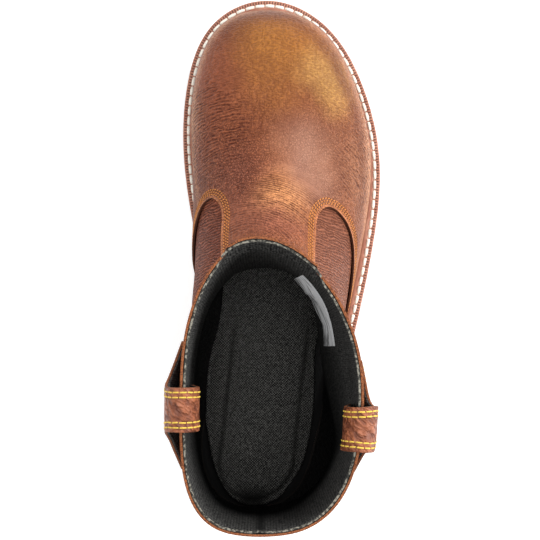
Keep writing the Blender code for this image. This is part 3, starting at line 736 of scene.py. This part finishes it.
# Lining
# Black twill bonded to a pale felt back, laid inside the whole upper. Its felt shows as a grey line
# beside the leather at the collar, and a seam closes it up the back of the heel. The twill is painted
# lighter near the collar and darker deeper down as painted light, with painted shade along the seam.
LINING_THICK = 1.1 * MM
TWILL_BLACK, TWILL_GREY = (0.004, 0.004, 0.004, 1), (0.10, 0.098, 0.093, 1)
FELT_PALE, FELT_DARK = (0.25, 0.235, 0.195, 1), (0.035, 0.034, 0.030, 1)
SHAFT_AXIS, TWILL_RIBS = (-9, -66), 300
ANKLE_PAD = {"centre": (40, -52, 105), "along": 52.0, "up": 95.0, "depth": 8.0}
LINING_TO_TONGUE, LINING_REACH = 2.1 * MM, (4, 9)  # moved out, and from the tongue in mm
LINING_LIT = (90 * MM, 262 * MM)  # heights over which the twill is painted lighter towards the collar, as painted light falling in
BACK_SEAM = {"x": -10.5, "half_width": 1.0, "depth": 0.5, "shadow": 4.0, "behind": -100, "fades_at": -90}


def felt_edge():
    made, place = new_finish("felt_edge", {"Specular IOR Level": 0.15, "Roughness": 0.95})
    fibre = clouds(place, 1.4 * MM, 5)
    colour = blended(between(fibre, 0.43, 0.63), FELT_DARK, FELT_PALE)
    lay_on(made, {"Base Color": colour}, fibre, 0.4 * MM)
    return made


def twill_lining():
    made, place = new_finish("twill_lining", {"Specular IOR Level": 0.15, "Roughness": 0.9})
    split = [axis_of(place, axis) for axis in ("X", "Y", "Z")]
    turn = place.maths("ARCTAN2", split[0] - SHAFT_AXIS[0] * MM, split[1] - SHAFT_AXIS[1] * MM)
    unrest = clouds(place, 6 * MM, 2)
    ribs = 0.5 + 0.5 * place.maths("SINE", turn * TWILL_RIBS + 3.0 * unrest)
    lint = clouds(place, 1.2 * MM, 4)
    # grey lint and wear, painted lighter towards the collar and darker deeper down as painted light
    # falling in from above
    lit = between(split[2], *LINING_LIT)
    wear = between(lint + 0.09 * ribs, 0.36, 0.80) * (0.2 + 0.8 * lit)
    off_seam = place.maths("ABSOLUTE", split[0] - BACK_SEAM["x"] * MM)
    # painted shade along the back seam's fold
    seam = 1 - between(off_seam, 0.0, BACK_SEAM["shadow"] * MM)
    seam = seam * (1 - between(split[1], BACK_SEAM["behind"] * MM, BACK_SEAM["fades_at"] * MM))
    wear = wear * (1 - 0.85 * seam)
    lay_on(made, {"Base Color": blended(wear, TWILL_BLACK, TWILL_GREY)}, 0.7 * ribs + lint, 0.15 * MM)
    return made


felt = felt_edge()
twill = twill_lining()
lining = add_piece("lining", skin("upper", 1), "footbed", twill, felt, felt)
work(lining, SUBDIVIDED)
relax(lining, 8)
lining_places, lining_normals = corners_of(lining)
lining_places = handled(lining_places, -lining_normals)
off_pad = (lining_places - np.array(ANKLE_PAD["centre"]) * MM) / MM
off_pad = (off_pad[:, 1] / ANKLE_PAD["along"]) ** 2 + (off_pad[:, 2] / ANKLE_PAD["up"]) ** 2
pad = (lining_places[:, 0] > 0) * ANKLE_PAD["depth"] * MM * np.clip(1 - off_pad, 0, 1) ** 1.5
pad -= LINING_TO_TONGUE * behind_tongue(lining_places, *LINING_REACH) ** 0.5
lining_places += lining_normals * pad[:, None]
off_seam = (lining_places[:, 0] - BACK_SEAM["x"] * MM) / (BACK_SEAM["half_width"] * MM)
at_back = lining_places[:, 1] < BACK_SEAM["behind"] * MM
at_back = at_back * np.exp(-(off_seam**2)) * BACK_SEAM["depth"] * MM
put_corners(lining, lining_places + lining_normals * at_back[:, None])
lining_tree = tree_of(lining)
work(lining, *thick(LINING_THICK))


# Lining tape
# A blank strip of thin grey tape stuck over a seam of the lining on the lateral side. Its lower edge is
# ragged and stands off the lining in front, and its face is worn in streaks along its length.
TAPE_EDGES = (
    # place, lower edge and upper edge in mm in the boot's frame, lower edge off the lining
    ("front end", (8, -9, 187), (11.4, -8.2, 222), 1.6),
    ("front bend", (14.5, -15, 176), (16.6, -13.7, 218), 3.0),
    ("middle", (18, -24, 150), (22, -22, 210), 1.2),
    ("rear bend", (22.5, -36, 157), (26.5, -34, 194), 0.0),
    ("rear end", (24, -47, 143), (29, -46, 183), 0.0),
)
TAPE_COLUMNS, TAPE_STEP = 12, 0.8 * MM
TAPE_LIFT, TAPE_RAGGED, TAPE_TEAR = 0.35 * MM, 2.6 * MM, 3 * MM
TAPE_GREY, TAPE_WORN = (0.98, 0.99, 1.0, 1), (0.15, 0.15, 0.15, 1)


def tape_strip():
    edges = [smooth_run(np.array([row[side] for row in TAPE_EDGES]) * MM, False) for side in (1, 2)]
    count = int(length_along(edges[0])[-1] / TAPE_STEP)
    lower, upper = (spaced(edge, np.linspace(0, length_along(edge)[-1], count)) for edge in edges)
    tears = np.array([noise.noise(Vector(place) / TAPE_TEAR) for place in lower])
    lower += unit(upper - lower) * (TAPE_RAGGED * np.abs(tears))[:, None]
    shares = np.linspace(0, 1, TAPE_COLUMNS)
    standing = [row[3] * MM for row in TAPE_EDGES]
    standing = np.interp(np.linspace(0, 1, count), np.linspace(0, 1, len(TAPE_EDGES)), standing)
    rows = []
    for start, end, off in zip(lower, upper, standing):
        found, normals = drawn_on(lining_tree, start + shares[:, None] * (end - start))
        rows.append(found + normals * (TAPE_LIFT + off * (1 - shares))[:, None])
    along = np.repeat(np.arange(count) * TAPE_STEP, TAPE_COLUMNS)
    return grid_mesh(rows, False), along, np.tile(shares, count)


def worn_tape():
    made, place = new_finish("grey_tape", {"Specular IOR Level": 0.4})
    along, across = value_of(place, "along"), value_of(place, "across")
    run = place.node("ShaderNodeCombineXYZ", {}, {"X": 0.15 * along, "Y": 30 * MM * across})
    streaks = clouds(run, 3 * MM, 4)
    worn = between(streaks + 0.2 * (1 - across), 0.56, 0.76)
    varied = {"Base Color": blended(worn, TAPE_GREY, TAPE_WORN), "Roughness": 0.35 + 0.4 * worn}
    lay_on(made, varied, streaks, 0.3 * MM)
    return made


strip, along, across = tape_strip()
tape = add_piece("lining_tape", strip, "footbed", worn_tape())
add_values(tape, "along", along)
add_values(tape, "across", across)


# Vamp and tongue
# One piece of smoother brown leather from the toe to the front of the collar, lasted over the toe and
# sewn over the side panels with three rows of gold thread. Its raw edge stands up in a step, and below
# the collar that edge is painted dark as the shade in the step.
VAMP_LEATHER_THICK = 1.2 * MM
SEAM_ROWS_AT = (2.2, 3.65, 5.1)
SEAM_STITCH = {
    "pitch": 2.2, "length": 2.05, "width": 0.66, "height": 0.7, "slant": 18, "unrest": 24
}
# small dark marks at the needle holes, painted as the shade in them
SEAM_HOLE = {"pitch": 2.2, "length": 0.7, "width": 1.0, "height": 0.45, "slant": 24, "unrest": 0}
SEAM_TROUGH = {"at": 3.65, "half_width": 2.2, "depth": 0.3}
GOLD_THREAD = (0.60, 0.225, 0.055, 1)
VAMP_DEEP, VAMP_BODY = (0.085, 0.020, 0.011, 1), (0.245, 0.080, 0.031, 1)
CHESTNUT = (0.15, 0.043, 0.015, 1)
MAROON, RUSSET = (0.31, 0.090, 0.042, 1), (0.24, 0.093, 0.045, 1)
GOLD, HONEY = (0.36, 0.138, 0.027, 1), (0.48, 0.25, 0.073, 1)
AMBER = (0.62, 0.27, 0.11, 1)
# the tan is a painted sheen on the steep sides of the vamp
TAN_SHEEN, SKIVED_SHADE = (0.52, 0.245, 0.12, 1), (0.10, 0.032, 0.016, 1)
# the rose is a painted highlight, pale and pink, beside the throat and the ridge
PLUM, ROSE_HIGHLIGHT = (0.25, 0.082, 0.05, 1), (0.31, 0.185, 0.135, 1)
# the pale edge colour is a painted sheen along the toe's edge
EDGE_SHEEN, LIP_HIGHLIGHT = (0.60, 0.275, 0.125, 1), (0.52, 0.19, 0.07, 1)
EDGE_SHEEN_BAND = {"start": 4.8, "top": 6.0, "end": 9.5}  # mm in from the sole's rim
# a band painted darker as shade, inside the sheen
EDGE_HOLLOW_SHADE = {"start": 8.5, "deepest": 11.5, "end": 17.0}
# painted highlight where the leather rounds over at the seam's cut edge
LIP_HIGHLIGHT_REACH = (0.8, 2.0)  # mm in from the seam's cut edge
SEAM_ENDS_BELOW, COLLAR_BAND = 4 * MM, 8 * MM  # down from the collar's top
VAMP_GRAIN = {"cells": 1.4, "hairs": 0.95, "cross": 1.1, "ball": 1.8, "throat": 1.15}  # pitches in mm
TOE_SMOOTH, TONGUE_SMOOTH = (62 * MM, 105 * MM), (12 * MM, 50 * MM)  # along Y
LATERAL_SMOOTH, LATERAL_EDGE = (22 * MM, 42 * MM), (0.0, 40 * MM)  # along X
VAMP_TONES = (
    # place, centre in mm, reach, strength, colour
    ("medial toe", (-40, 100, 58), 44, 0.8, MAROON),
    ("medial ball", (-43, 70, 62), 48, 0.7, MAROON),
    ("lateral ball", (40, 56, 66), 40, 0.7, RUSSET),
    ("toe top", (-2, 106, 74), 36, 0.5, GOLD),
    ("toe centre", (-6, 126, 66), 30, 0.9, GOLD),
    ("toe to lateral", (13, 120, 67), 24, 0.8, GOLD),
    ("lateral toe", (25, 107, 68), 24, 0.7, HONEY),
    ("lateral toe, further", (32, 93, 67), 22, 0.6, HONEY),
    ("throat", (-1, 33, 102), 26, 0.8, AMBER),
    ("medial tongue", (-20, 24, 105), 26, 0.6, PLUM),
    ("tongue", (-3, 17, 109), 22, 0.8, PLUM),
    ("medial of the throat", (-26, 48, 90), 30, 0.7, PLUM),
    # painted highlight, where the key light's highlight falls
    ("lateral of the throat", (22, 42, 90), 26, 0.35, ROSE_HIGHLIGHT),
    ("lateral of the ridge", (14, 64, 85), 30, 0.33, ROSE_HIGHLIGHT),
    ("toe edge", (-6, 147, 42), 26, 0.9, CHESTNUT),
    # painted sheen on the steep sides, lateral and medial
    ("lateral side", (54, 46, 44), 42, 0.5, TAN_SHEEN),
    ("medial side", (-58, 76, 42), 36, 0.72, TAN_SHEEN),
)
WRINKLES = (
    # place, centre in mm, reach, strength
    ("medial ball", (-42, 70, 62), 52, 1.0),
    ("lateral ball", (44, 50, 58), 46, 0.65),
)
THROAT_WRINKLES = (
    # place, centre in mm, reach, strength
    ("throat", (1, 40, 100), 26, 1.0),
    ("beside the throat", (20, 30, 98), 22, 0.8),
    ("medial tongue", (-24, 22, 105), 22, 0.8),
    ("tongue", (4, 15, 110), 24, 0.9),
)
POLISHED = (
    # place, centre in mm, reach, strength
    ("lateral of the ridge", (12, 64, 85), 40, 0.8),
    ("down to the seam", (18, 44, 90), 26, 0.5),
)
THROAT_ARCHED = {"centre": (-14, -6, 100), "shape": (1.0, 1.0, 0.5)}
BALL_ARCHED = {"centre": (-16, 0, 100), "shape": (1.0, 1.0, 0.5)}


def spots(place, table):
    """Soft spots from a table of centres, reaches and strengths, added up."""
    total = None
    for _, centre, reach, strength in table:
        spot = strength * (1 - between(rings_of(place, centre), 0.15 * reach * MM, reach * MM))
        total = spot if total is None else total + spot
    return total


def toned(place, body, table, drift):
    """A body colour with a table's soft tones laid over it, their borders moved by the drift."""
    for _, centre, reach, strength, colour in table:
        near = 1 - between(rings_of(place, centre) + drift, 0.1 * reach * MM, reach * MM)
        body = blended(strength * near, body, colour)
    return body


def waxed_leather():
    made, place = new_finish("waxed_vamp_leather", {"Specular IOR Level": 0.14, "Coat Roughness": 0.3})
    ball_run = shaken(wrinkle_run(place, **BALL_ARCHED, stretch=2.4), 5 * MM, 3.5 * MM)
    throat_run = wrinkle_run(place, **THROAT_ARCHED, stretch=6)
    hair_cells = strokes(wrinkle_run(place, **ARCHED, stretch=2.2), VAMP_GRAIN["hairs"] * MM, 2)
    cells = pebbles(place, VAMP_GRAIN["cells"] * MM)
    cross = strokes(scaled(place, 1, 0.15, 0.15), VAMP_GRAIN["cross"] * MM)
    sideways, forward = axis_of(place, "X"), axis_of(place, "Y")
    rough_back = 1 - between(forward, *TOE_SMOOTH)
    broken = between(clouds(ball_run, 2.6 * MM, 2), 0.34, 0.62)
    at_ball = between(spots(place, WRINKLES), 0.05, 0.8) * broken
    throat = between(spots(place, THROAT_WRINKLES), 0.05, 0.8)
    ball_lines = furrows(ball_run, VAMP_GRAIN["ball"] * MM, 6.0)
    valley = 0.9 * at_ball * (1 - between(ball_lines, 0.1, 0.9))
    at_throat = throat * (0.3 + 0.7 * between(clouds(throat_run, 3 * MM, 2), 0.35, 0.6))
    throat_lines = furrows(throat_run, VAMP_GRAIN["throat"] * MM, 5.0)
    valley += 0.75 * at_throat * (1 - between(throat_lines, 0.1, 0.9))
    pitted = (1 - cells) * (0.15 + 0.85 * rough_back) * (1 - 0.85 * throat) * (1 - 0.6 * at_ball)
    pitted = pitted * (0.45 + 0.55 * between(forward, *TONGUE_SMOOTH))
    pitted = pitted * (1 - 0.5 * between(sideways, *LATERAL_SMOOTH))
    polished = between(spots(place, POLISHED), 0.0, 1.0)
    mottle = between(clouds(place, 24 * MM, 5), 0.30, 0.72)
    drift = 14 * MM * (clouds(place, 12 * MM, 5) - 0.5)
    body = toned(place, blended(mottle * 0.5, VAMP_BODY, VAMP_DEEP), VAMP_TONES, drift)
    lateral = between(sideways, *LATERAL_EDGE)
    inset, from_seam = value_of(place, "inset"), value_of(place, "from_seam")
    # a pale band in from the sole's rim: painted sheen
    rise = between(inset, EDGE_SHEEN_BAND["start"], EDGE_SHEEN_BAND["top"])
    fall = between(inset, EDGE_SHEEN_BAND["top"], EDGE_SHEEN_BAND["end"])
    body = blended(0.45 * rise * (1 - fall), body, EDGE_SHEEN)
    # a darker band inside it: painted shade where the toe's wall turns down
    rise = between(inset, EDGE_HOLLOW_SHADE["start"], EDGE_HOLLOW_SHADE["deepest"])
    fall = between(inset, EDGE_HOLLOW_SHADE["deepest"], EDGE_HOLLOW_SHADE["end"])
    body = blended(rise * (1 - fall) * (0.1 + 0.5 * lateral), body, CHESTNUT)
    # painted highlight on the rounded edge beside the seam
    lip_highlight = 1 - between(from_seam, *LIP_HIGHLIGHT_REACH)
    body = blended(0.7 * lip_highlight, body, LIP_HIGHLIGHT)
    raised = {0: body, "Scale": 1.05 + 0.37 * rough_back}
    high = body.node("ShaderNodeVectorMath", {"operation": "SCALE"}, raised)
    # wrinkle valleys, grain pits and hair cells are painted darker as their shade, as well as cut into
    # the relief
    low = 0.95 * valley + 0.85 * pitted + 0.5 * (1 - hair_cells) + 0.15 * (1 - cross)
    low = low * (1 - 0.6 * polished)
    varied = {
        "Base Color": blended(0.65 * low, high, VAMP_DEEP),
        "Roughness": 0.40 + 0.14 * low,
        "Coat Weight": 0.08 * polished,
    }
    lay_on(made, varied, 1 - low, 0.85 * MM)
    return made


# dark brown for the vamp's cut edge below the collar: painted shade in the step and gap beside the
# panels
def shaded_skived_edge():
    made, place = new_finish("skived_edge_painted_shade", {"Specular IOR Level": 0.2, "Roughness": 0.8})
    fibre = clouds(place, 0.7 * MM, 3)
    dark = tuple(0.35 * part for part in SKIVED_SHADE[:3]) + (1,)
    lay_on(made, {"Base Color": blended(fibre, dark, SKIVED_SHADE)}, fibre, 0.2 * MM)
    return made


def refinish(piece, old, new, test):
    """Change the finish of the faces whose middle passes a test."""
    for face in piece.data.polygons:
        if face.material_index == old and test(face.center):
            face.material_index = new


def open_runs(piece, turn):
    """A skin's edge cut at its corners into fine open curves."""
    mesh = bmesh.new()
    mesh.from_mesh(piece.data)
    loop = max(traced([edge for edge in mesh.edges if edge.is_boundary]), key=len)
    mesh.free()
    reach = 3
    ahead = unit(np.roll(loop, -reach, axis=0) - loop)
    behind = unit(loop - np.roll(loop, reach, axis=0))
    bend = np.degrees(np.arccos(np.clip(np.sum(ahead * behind, axis=1), -1, 1)))
    window = np.stack([np.roll(bend, shift) for shift in range(-reach, reach + 1)])
    corners = np.flatnonzero((bend > turn) & (bend >= window.max(axis=0)))
    loop = np.roll(loop, -corners[0], axis=0)
    stops = list(corners - corners[0]) + [len(loop)]
    closed = np.vstack([loop, loop[:1]])
    return [closed[start : end + 1] for start, end in zip(stops, stops[1:]) if end - start > reach]


def row_inside(tree, path, offset):
    """A curve on a skin at this distance in from its edge."""
    heading = unit(np.gradient(path, axis=0))
    found, normals = drawn_on(tree, path)
    aside = unit(np.cross(normals, heading))
    tries = [drawn_on(tree, path + sign * offset * aside)[0] for sign in (1, -1)]
    gained = [np.linalg.norm(t - found, axis=1).mean() for t in tries]
    return tries[int(np.argmax(gained))]


def away_from(points, places):
    """Distance from each place to the nearest of these points."""
    tree = KDTree(len(points))
    for number, point in enumerate(points):
        tree.insert(point, number)
    tree.balance()
    return np.array([tree.find(place)[2] for place in places])


def sew(name, tree, rows, size, shift, slot, finish):
    """Rows of stitches along curves on a skin, the first after a share of their pitch."""
    reach, patch = 0.4 * MM, 1.5 * MM
    places, normals, headings = [], [], []
    for path in rows:
        length = length_along(path)[-1]
        count = int(length / (size["pitch"] * MM))
        steps = (np.arange(count) + shift) * length / count
        spots_on, up = drawn_on(tree, spaced(path, steps))
        ahead = unit(spaced(path, steps + reach) - spaced(path, steps - reach))
        unrest = [noise.noise(Vector(spot) / patch) for spot in spots_on]
        slant = np.radians(size["slant"] + size["unrest"] * np.array(unrest))[:, None]
        places.append(spots_on)
        normals.append(up)
        headings.append(ahead * np.cos(slant) + np.cross(up, ahead) * np.sin(slant))
    mesh = stitches(
        np.vstack(places),
        np.vstack(normals),
        np.vstack(headings),
        *(size[part] * MM for part in ("length", "width", "height")),
    )
    return add_piece(name, mesh, slot, finish)


vamp_finishes = waxed_leather(), shaded_skived_edge(), flesh_side, cut_edge
vamp = add_piece("vamp_and_tongue", skin("vamp", 0), "vamp_leather", *vamp_finishes)
work(vamp, SUBDIVIDED)
relax(vamp, 6)
vamp_edges = open_runs(vamp, 40)
seam_top = COLLAR_TOP - SEAM_ENDS_BELOW
seam_edges = [run for run in vamp_edges if (run[0, 2] > seam_top) != (run[-1, 2] > seam_top)]
vamp_places, vamp_normals = corners_of(vamp)
seam_points = [spaced(run, np.arange(0, length_along(run)[-1], 1 * MM)) for run in seam_edges]
seam_points = np.vstack(seam_points)
seam_away = away_from(seam_points, vamp_places)
off_rows = (seam_away / MM - SEAM_TROUGH["at"]) / SEAM_TROUGH["half_width"]
vamp_places -= vamp_normals * (SEAM_TROUGH["depth"] * MM * np.exp(-(off_rows**4)))[:, None]
put_corners(vamp, handled(vamp_places, vamp_normals))
vamp_tree = tree_of(vamp)
rows = [row_inside(vamp_tree, run, at * MM) for run in seam_edges for at in SEAM_ROWS_AT]
gold_thread = thread("gold_thread", GOLD_THREAD)
sew("vamp_stitching", vamp_tree, rows, SEAM_STITCH, 0.5, "vamp_leather", gold_thread)
# painted shade at the needle holes
sew("vamp_needle_hole_shade", vamp_tree, rows, SEAM_HOLE, 0.0, "vamp_leather", vamp_finishes[1])
work(vamp, *thick(VAMP_LEATHER_THICK))
vamp_places, _ = corners_of(vamp)
add_values(vamp, "from_seam", away_from(seam_points, vamp_places) / MM)
add_values(vamp, "inset", away_from(sole_rim() * (1, 1, 0), vamp_places * (1, 1, 0)) / MM)
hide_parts("vamp")


def at_collar(middle):
    return middle.z > COLLAR_TOP - COLLAR_BAND


def below_collar(middle):
    return not at_collar(middle)


refinish(vamp, 1, 3, at_collar)
refinish(lining, 1, 0, below_collar)


# Pull straps
# A strip of the panel leather backed with black fabric, folded over the collar on each side and sewn
# to the shaft. Two rows of yellow thread run along each long edge.
STRAP_LEATHER_THICK, STRAP_BACKING_THICK = 1.5 * MM, 0.8 * MM
STRAP_ROWS_AT = (2.4, 4.9)
STRAP_STITCH = {
    "pitch": 4.1, "length": 3.6, "width": 0.85, "height": 0.8, "slant": 0, "unrest": 6
}
YELLOW_THREAD = (0.80, 0.55, 0.085, 1)
STRAP_DEEP, STRAP_WARM = (0.070, 0.017, 0.009, 1), (0.27, 0.083, 0.038, 1)
STRAP_LIGHT = (0.345, 0.112, 0.050, 1)
STRAP_CREASE = {"size": 2.7, "lean": 35}


def creased_leather():
    made, place = new_finish("strap_leather", {"Specular IOR Level": 0.3, "Coat Roughness": 0.3})
    lean = (0, 0, math.radians(STRAP_CREASE["lean"]))
    turned = place.node("ShaderNodeMapping", {}, {"Vector": place, "Rotation": lean})
    creases = pebbles(scaled(turned, 0.45, 1, 0.6), STRAP_CREASE["size"] * MM)
    dents = between(clouds(scaled(turned, 0.45, 1, 0.6), 3.4 * MM, 3), 0.32, 0.62)
    fine = clouds(place, 0.7 * MM, 3)
    # the colour follows the dents: lighter on their tops, darker in their hollows and the creases, as
    # painted light and shade
    body = blended(dents, STRAP_WARM, STRAP_LIGHT)
    low = 1 - creases
    varied = {
        "Base Color": blended(0.3 * low + 0.45 * (1 - dents), body, STRAP_DEEP),
        "Roughness": 0.38 + 0.12 * fine + 0.14 * low,
        "Coat Weight": 0.10 * creases,
    }
    lay_on(made, varied, 0.5 * creases + dents + 0.2 * fine, 1.1 * MM)
    return made


strap_leather = creased_leather()
yellow_thread = thread("yellow_thread", YELLOW_THREAD)
for side in ("medial", "lateral"):
    node = f"pull_strap_{side}"
    strap_finishes = strap_leather, cut_edge, flesh_side
    strap = add_piece(f"{node}_leather", skin(node, 0), "strap_leather", *strap_finishes)
    work(strap, ("SUBSURF", SUBDIVIDED[1] | {"levels": 3}))
    strap_tree = tree_of(strap)
    long_edges = sorted(open_runs(strap, 40), key=lambda run: -length_along(run)[-1])[:2]
    rows = [row_inside(strap_tree, run, at * MM) for run in long_edges for at in STRAP_ROWS_AT]
    sew(f"{node}_stitching", strap_tree, rows, STRAP_STITCH, 0.5, "strap_leather", yellow_thread)
    work(strap, *thick(STRAP_LEATHER_THICK))
    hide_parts(node)
    backing = add_piece(f"{node}_backing", skin(node, 1), "footbed", twill, twill, twill)
    work(backing, SUBDIVIDED)
    work(backing, *thick(STRAP_BACKING_THICK))


# Floor, light and camera
# A plain white sweep under soft studio light. The camera looks straight down on the boot.
FLOOR_HALF = 3.0
CAMERA_HEIGHT = 1.640
CAMERA_PLACE = (-5.67, -6.01)
FRAME_WIDTH_PX, FOCAL_PX, SENSOR = 540, 2766, 36.0
LIGHTS = (
    # place, position in m, size in m, power in W
    ("key softbox over the lateral toe", (0.72, 1.12, 1.05), 0.6, 18),
    ("high medial softbox", (-0.85, -0.1, 1.5), 0.7, 14.5),
    ("overhead softbox", (0.1, -0.05, 2.4), 0.8, 17),
    ("lateral fill", (1.25, -0.1, 0.7), 0.6, 18),
)
LIT_AT = (0, 0, 0.08)
WORLD_STRENGTH = 0.22
FLOOR_GLOW = 0.35

floor_mesh = bmesh.new()
bmesh.ops.create_grid(floor_mesh, x_segments=1, y_segments=1, size=FLOOR_HALF)
floor_data = bpy.data.meshes.new("floor")
floor_mesh.to_mesh(floor_data)
floor_mesh.free()
floor = bpy.data.objects.new("floor", floor_data)
bpy.context.scene.collection.objects.link(floor)
paper = {"Base Color": (0.93, 0.93, 0.93, 1), "Roughness": 0.9, "Specular IOR Level": 0.0}
glow = {"Emission Color": (1, 1, 1, 1), "Emission Strength": FLOOR_GLOW}
floor_finish, _ = new_finish("lit_white_sweep", paper | glow)
floor_data.materials.append(floor_finish)

for name, position, size, power in LIGHTS:
    lamp = bpy.data.lights.new(name, "AREA")
    lamp.size = size
    lamp.energy = power
    holder = bpy.data.objects.new(name, lamp)
    holder.location = position
    aim = Vector(LIT_AT) - holder.location
    holder.rotation_euler = aim.to_track_quat("-Z", "Y").to_euler()
    bpy.context.scene.collection.objects.link(holder)

world = bpy.data.worlds.new("studio")
world.use_nodes = True
world.node_tree.nodes["Background"].inputs["Color"].default_value = (1, 1, 1, 1)
world.node_tree.nodes["Background"].inputs["Strength"].default_value = WORLD_STRENGTH
bpy.context.scene.world = world
bpy.context.scene.view_settings.view_transform = "Standard"

camera = bpy.data.objects.new("camera", bpy.data.cameras.new("camera"))
camera.data.sensor_width = SENSOR
camera.data.lens = SENSOR * FOCAL_PX / FRAME_WIDTH_PX
camera.location = (CAMERA_PLACE[0] * MM, CAMERA_PLACE[1] * MM, CAMERA_HEIGHT)
bpy.context.scene.collection.objects.link(camera)
bpy.context.scene.camera = camera
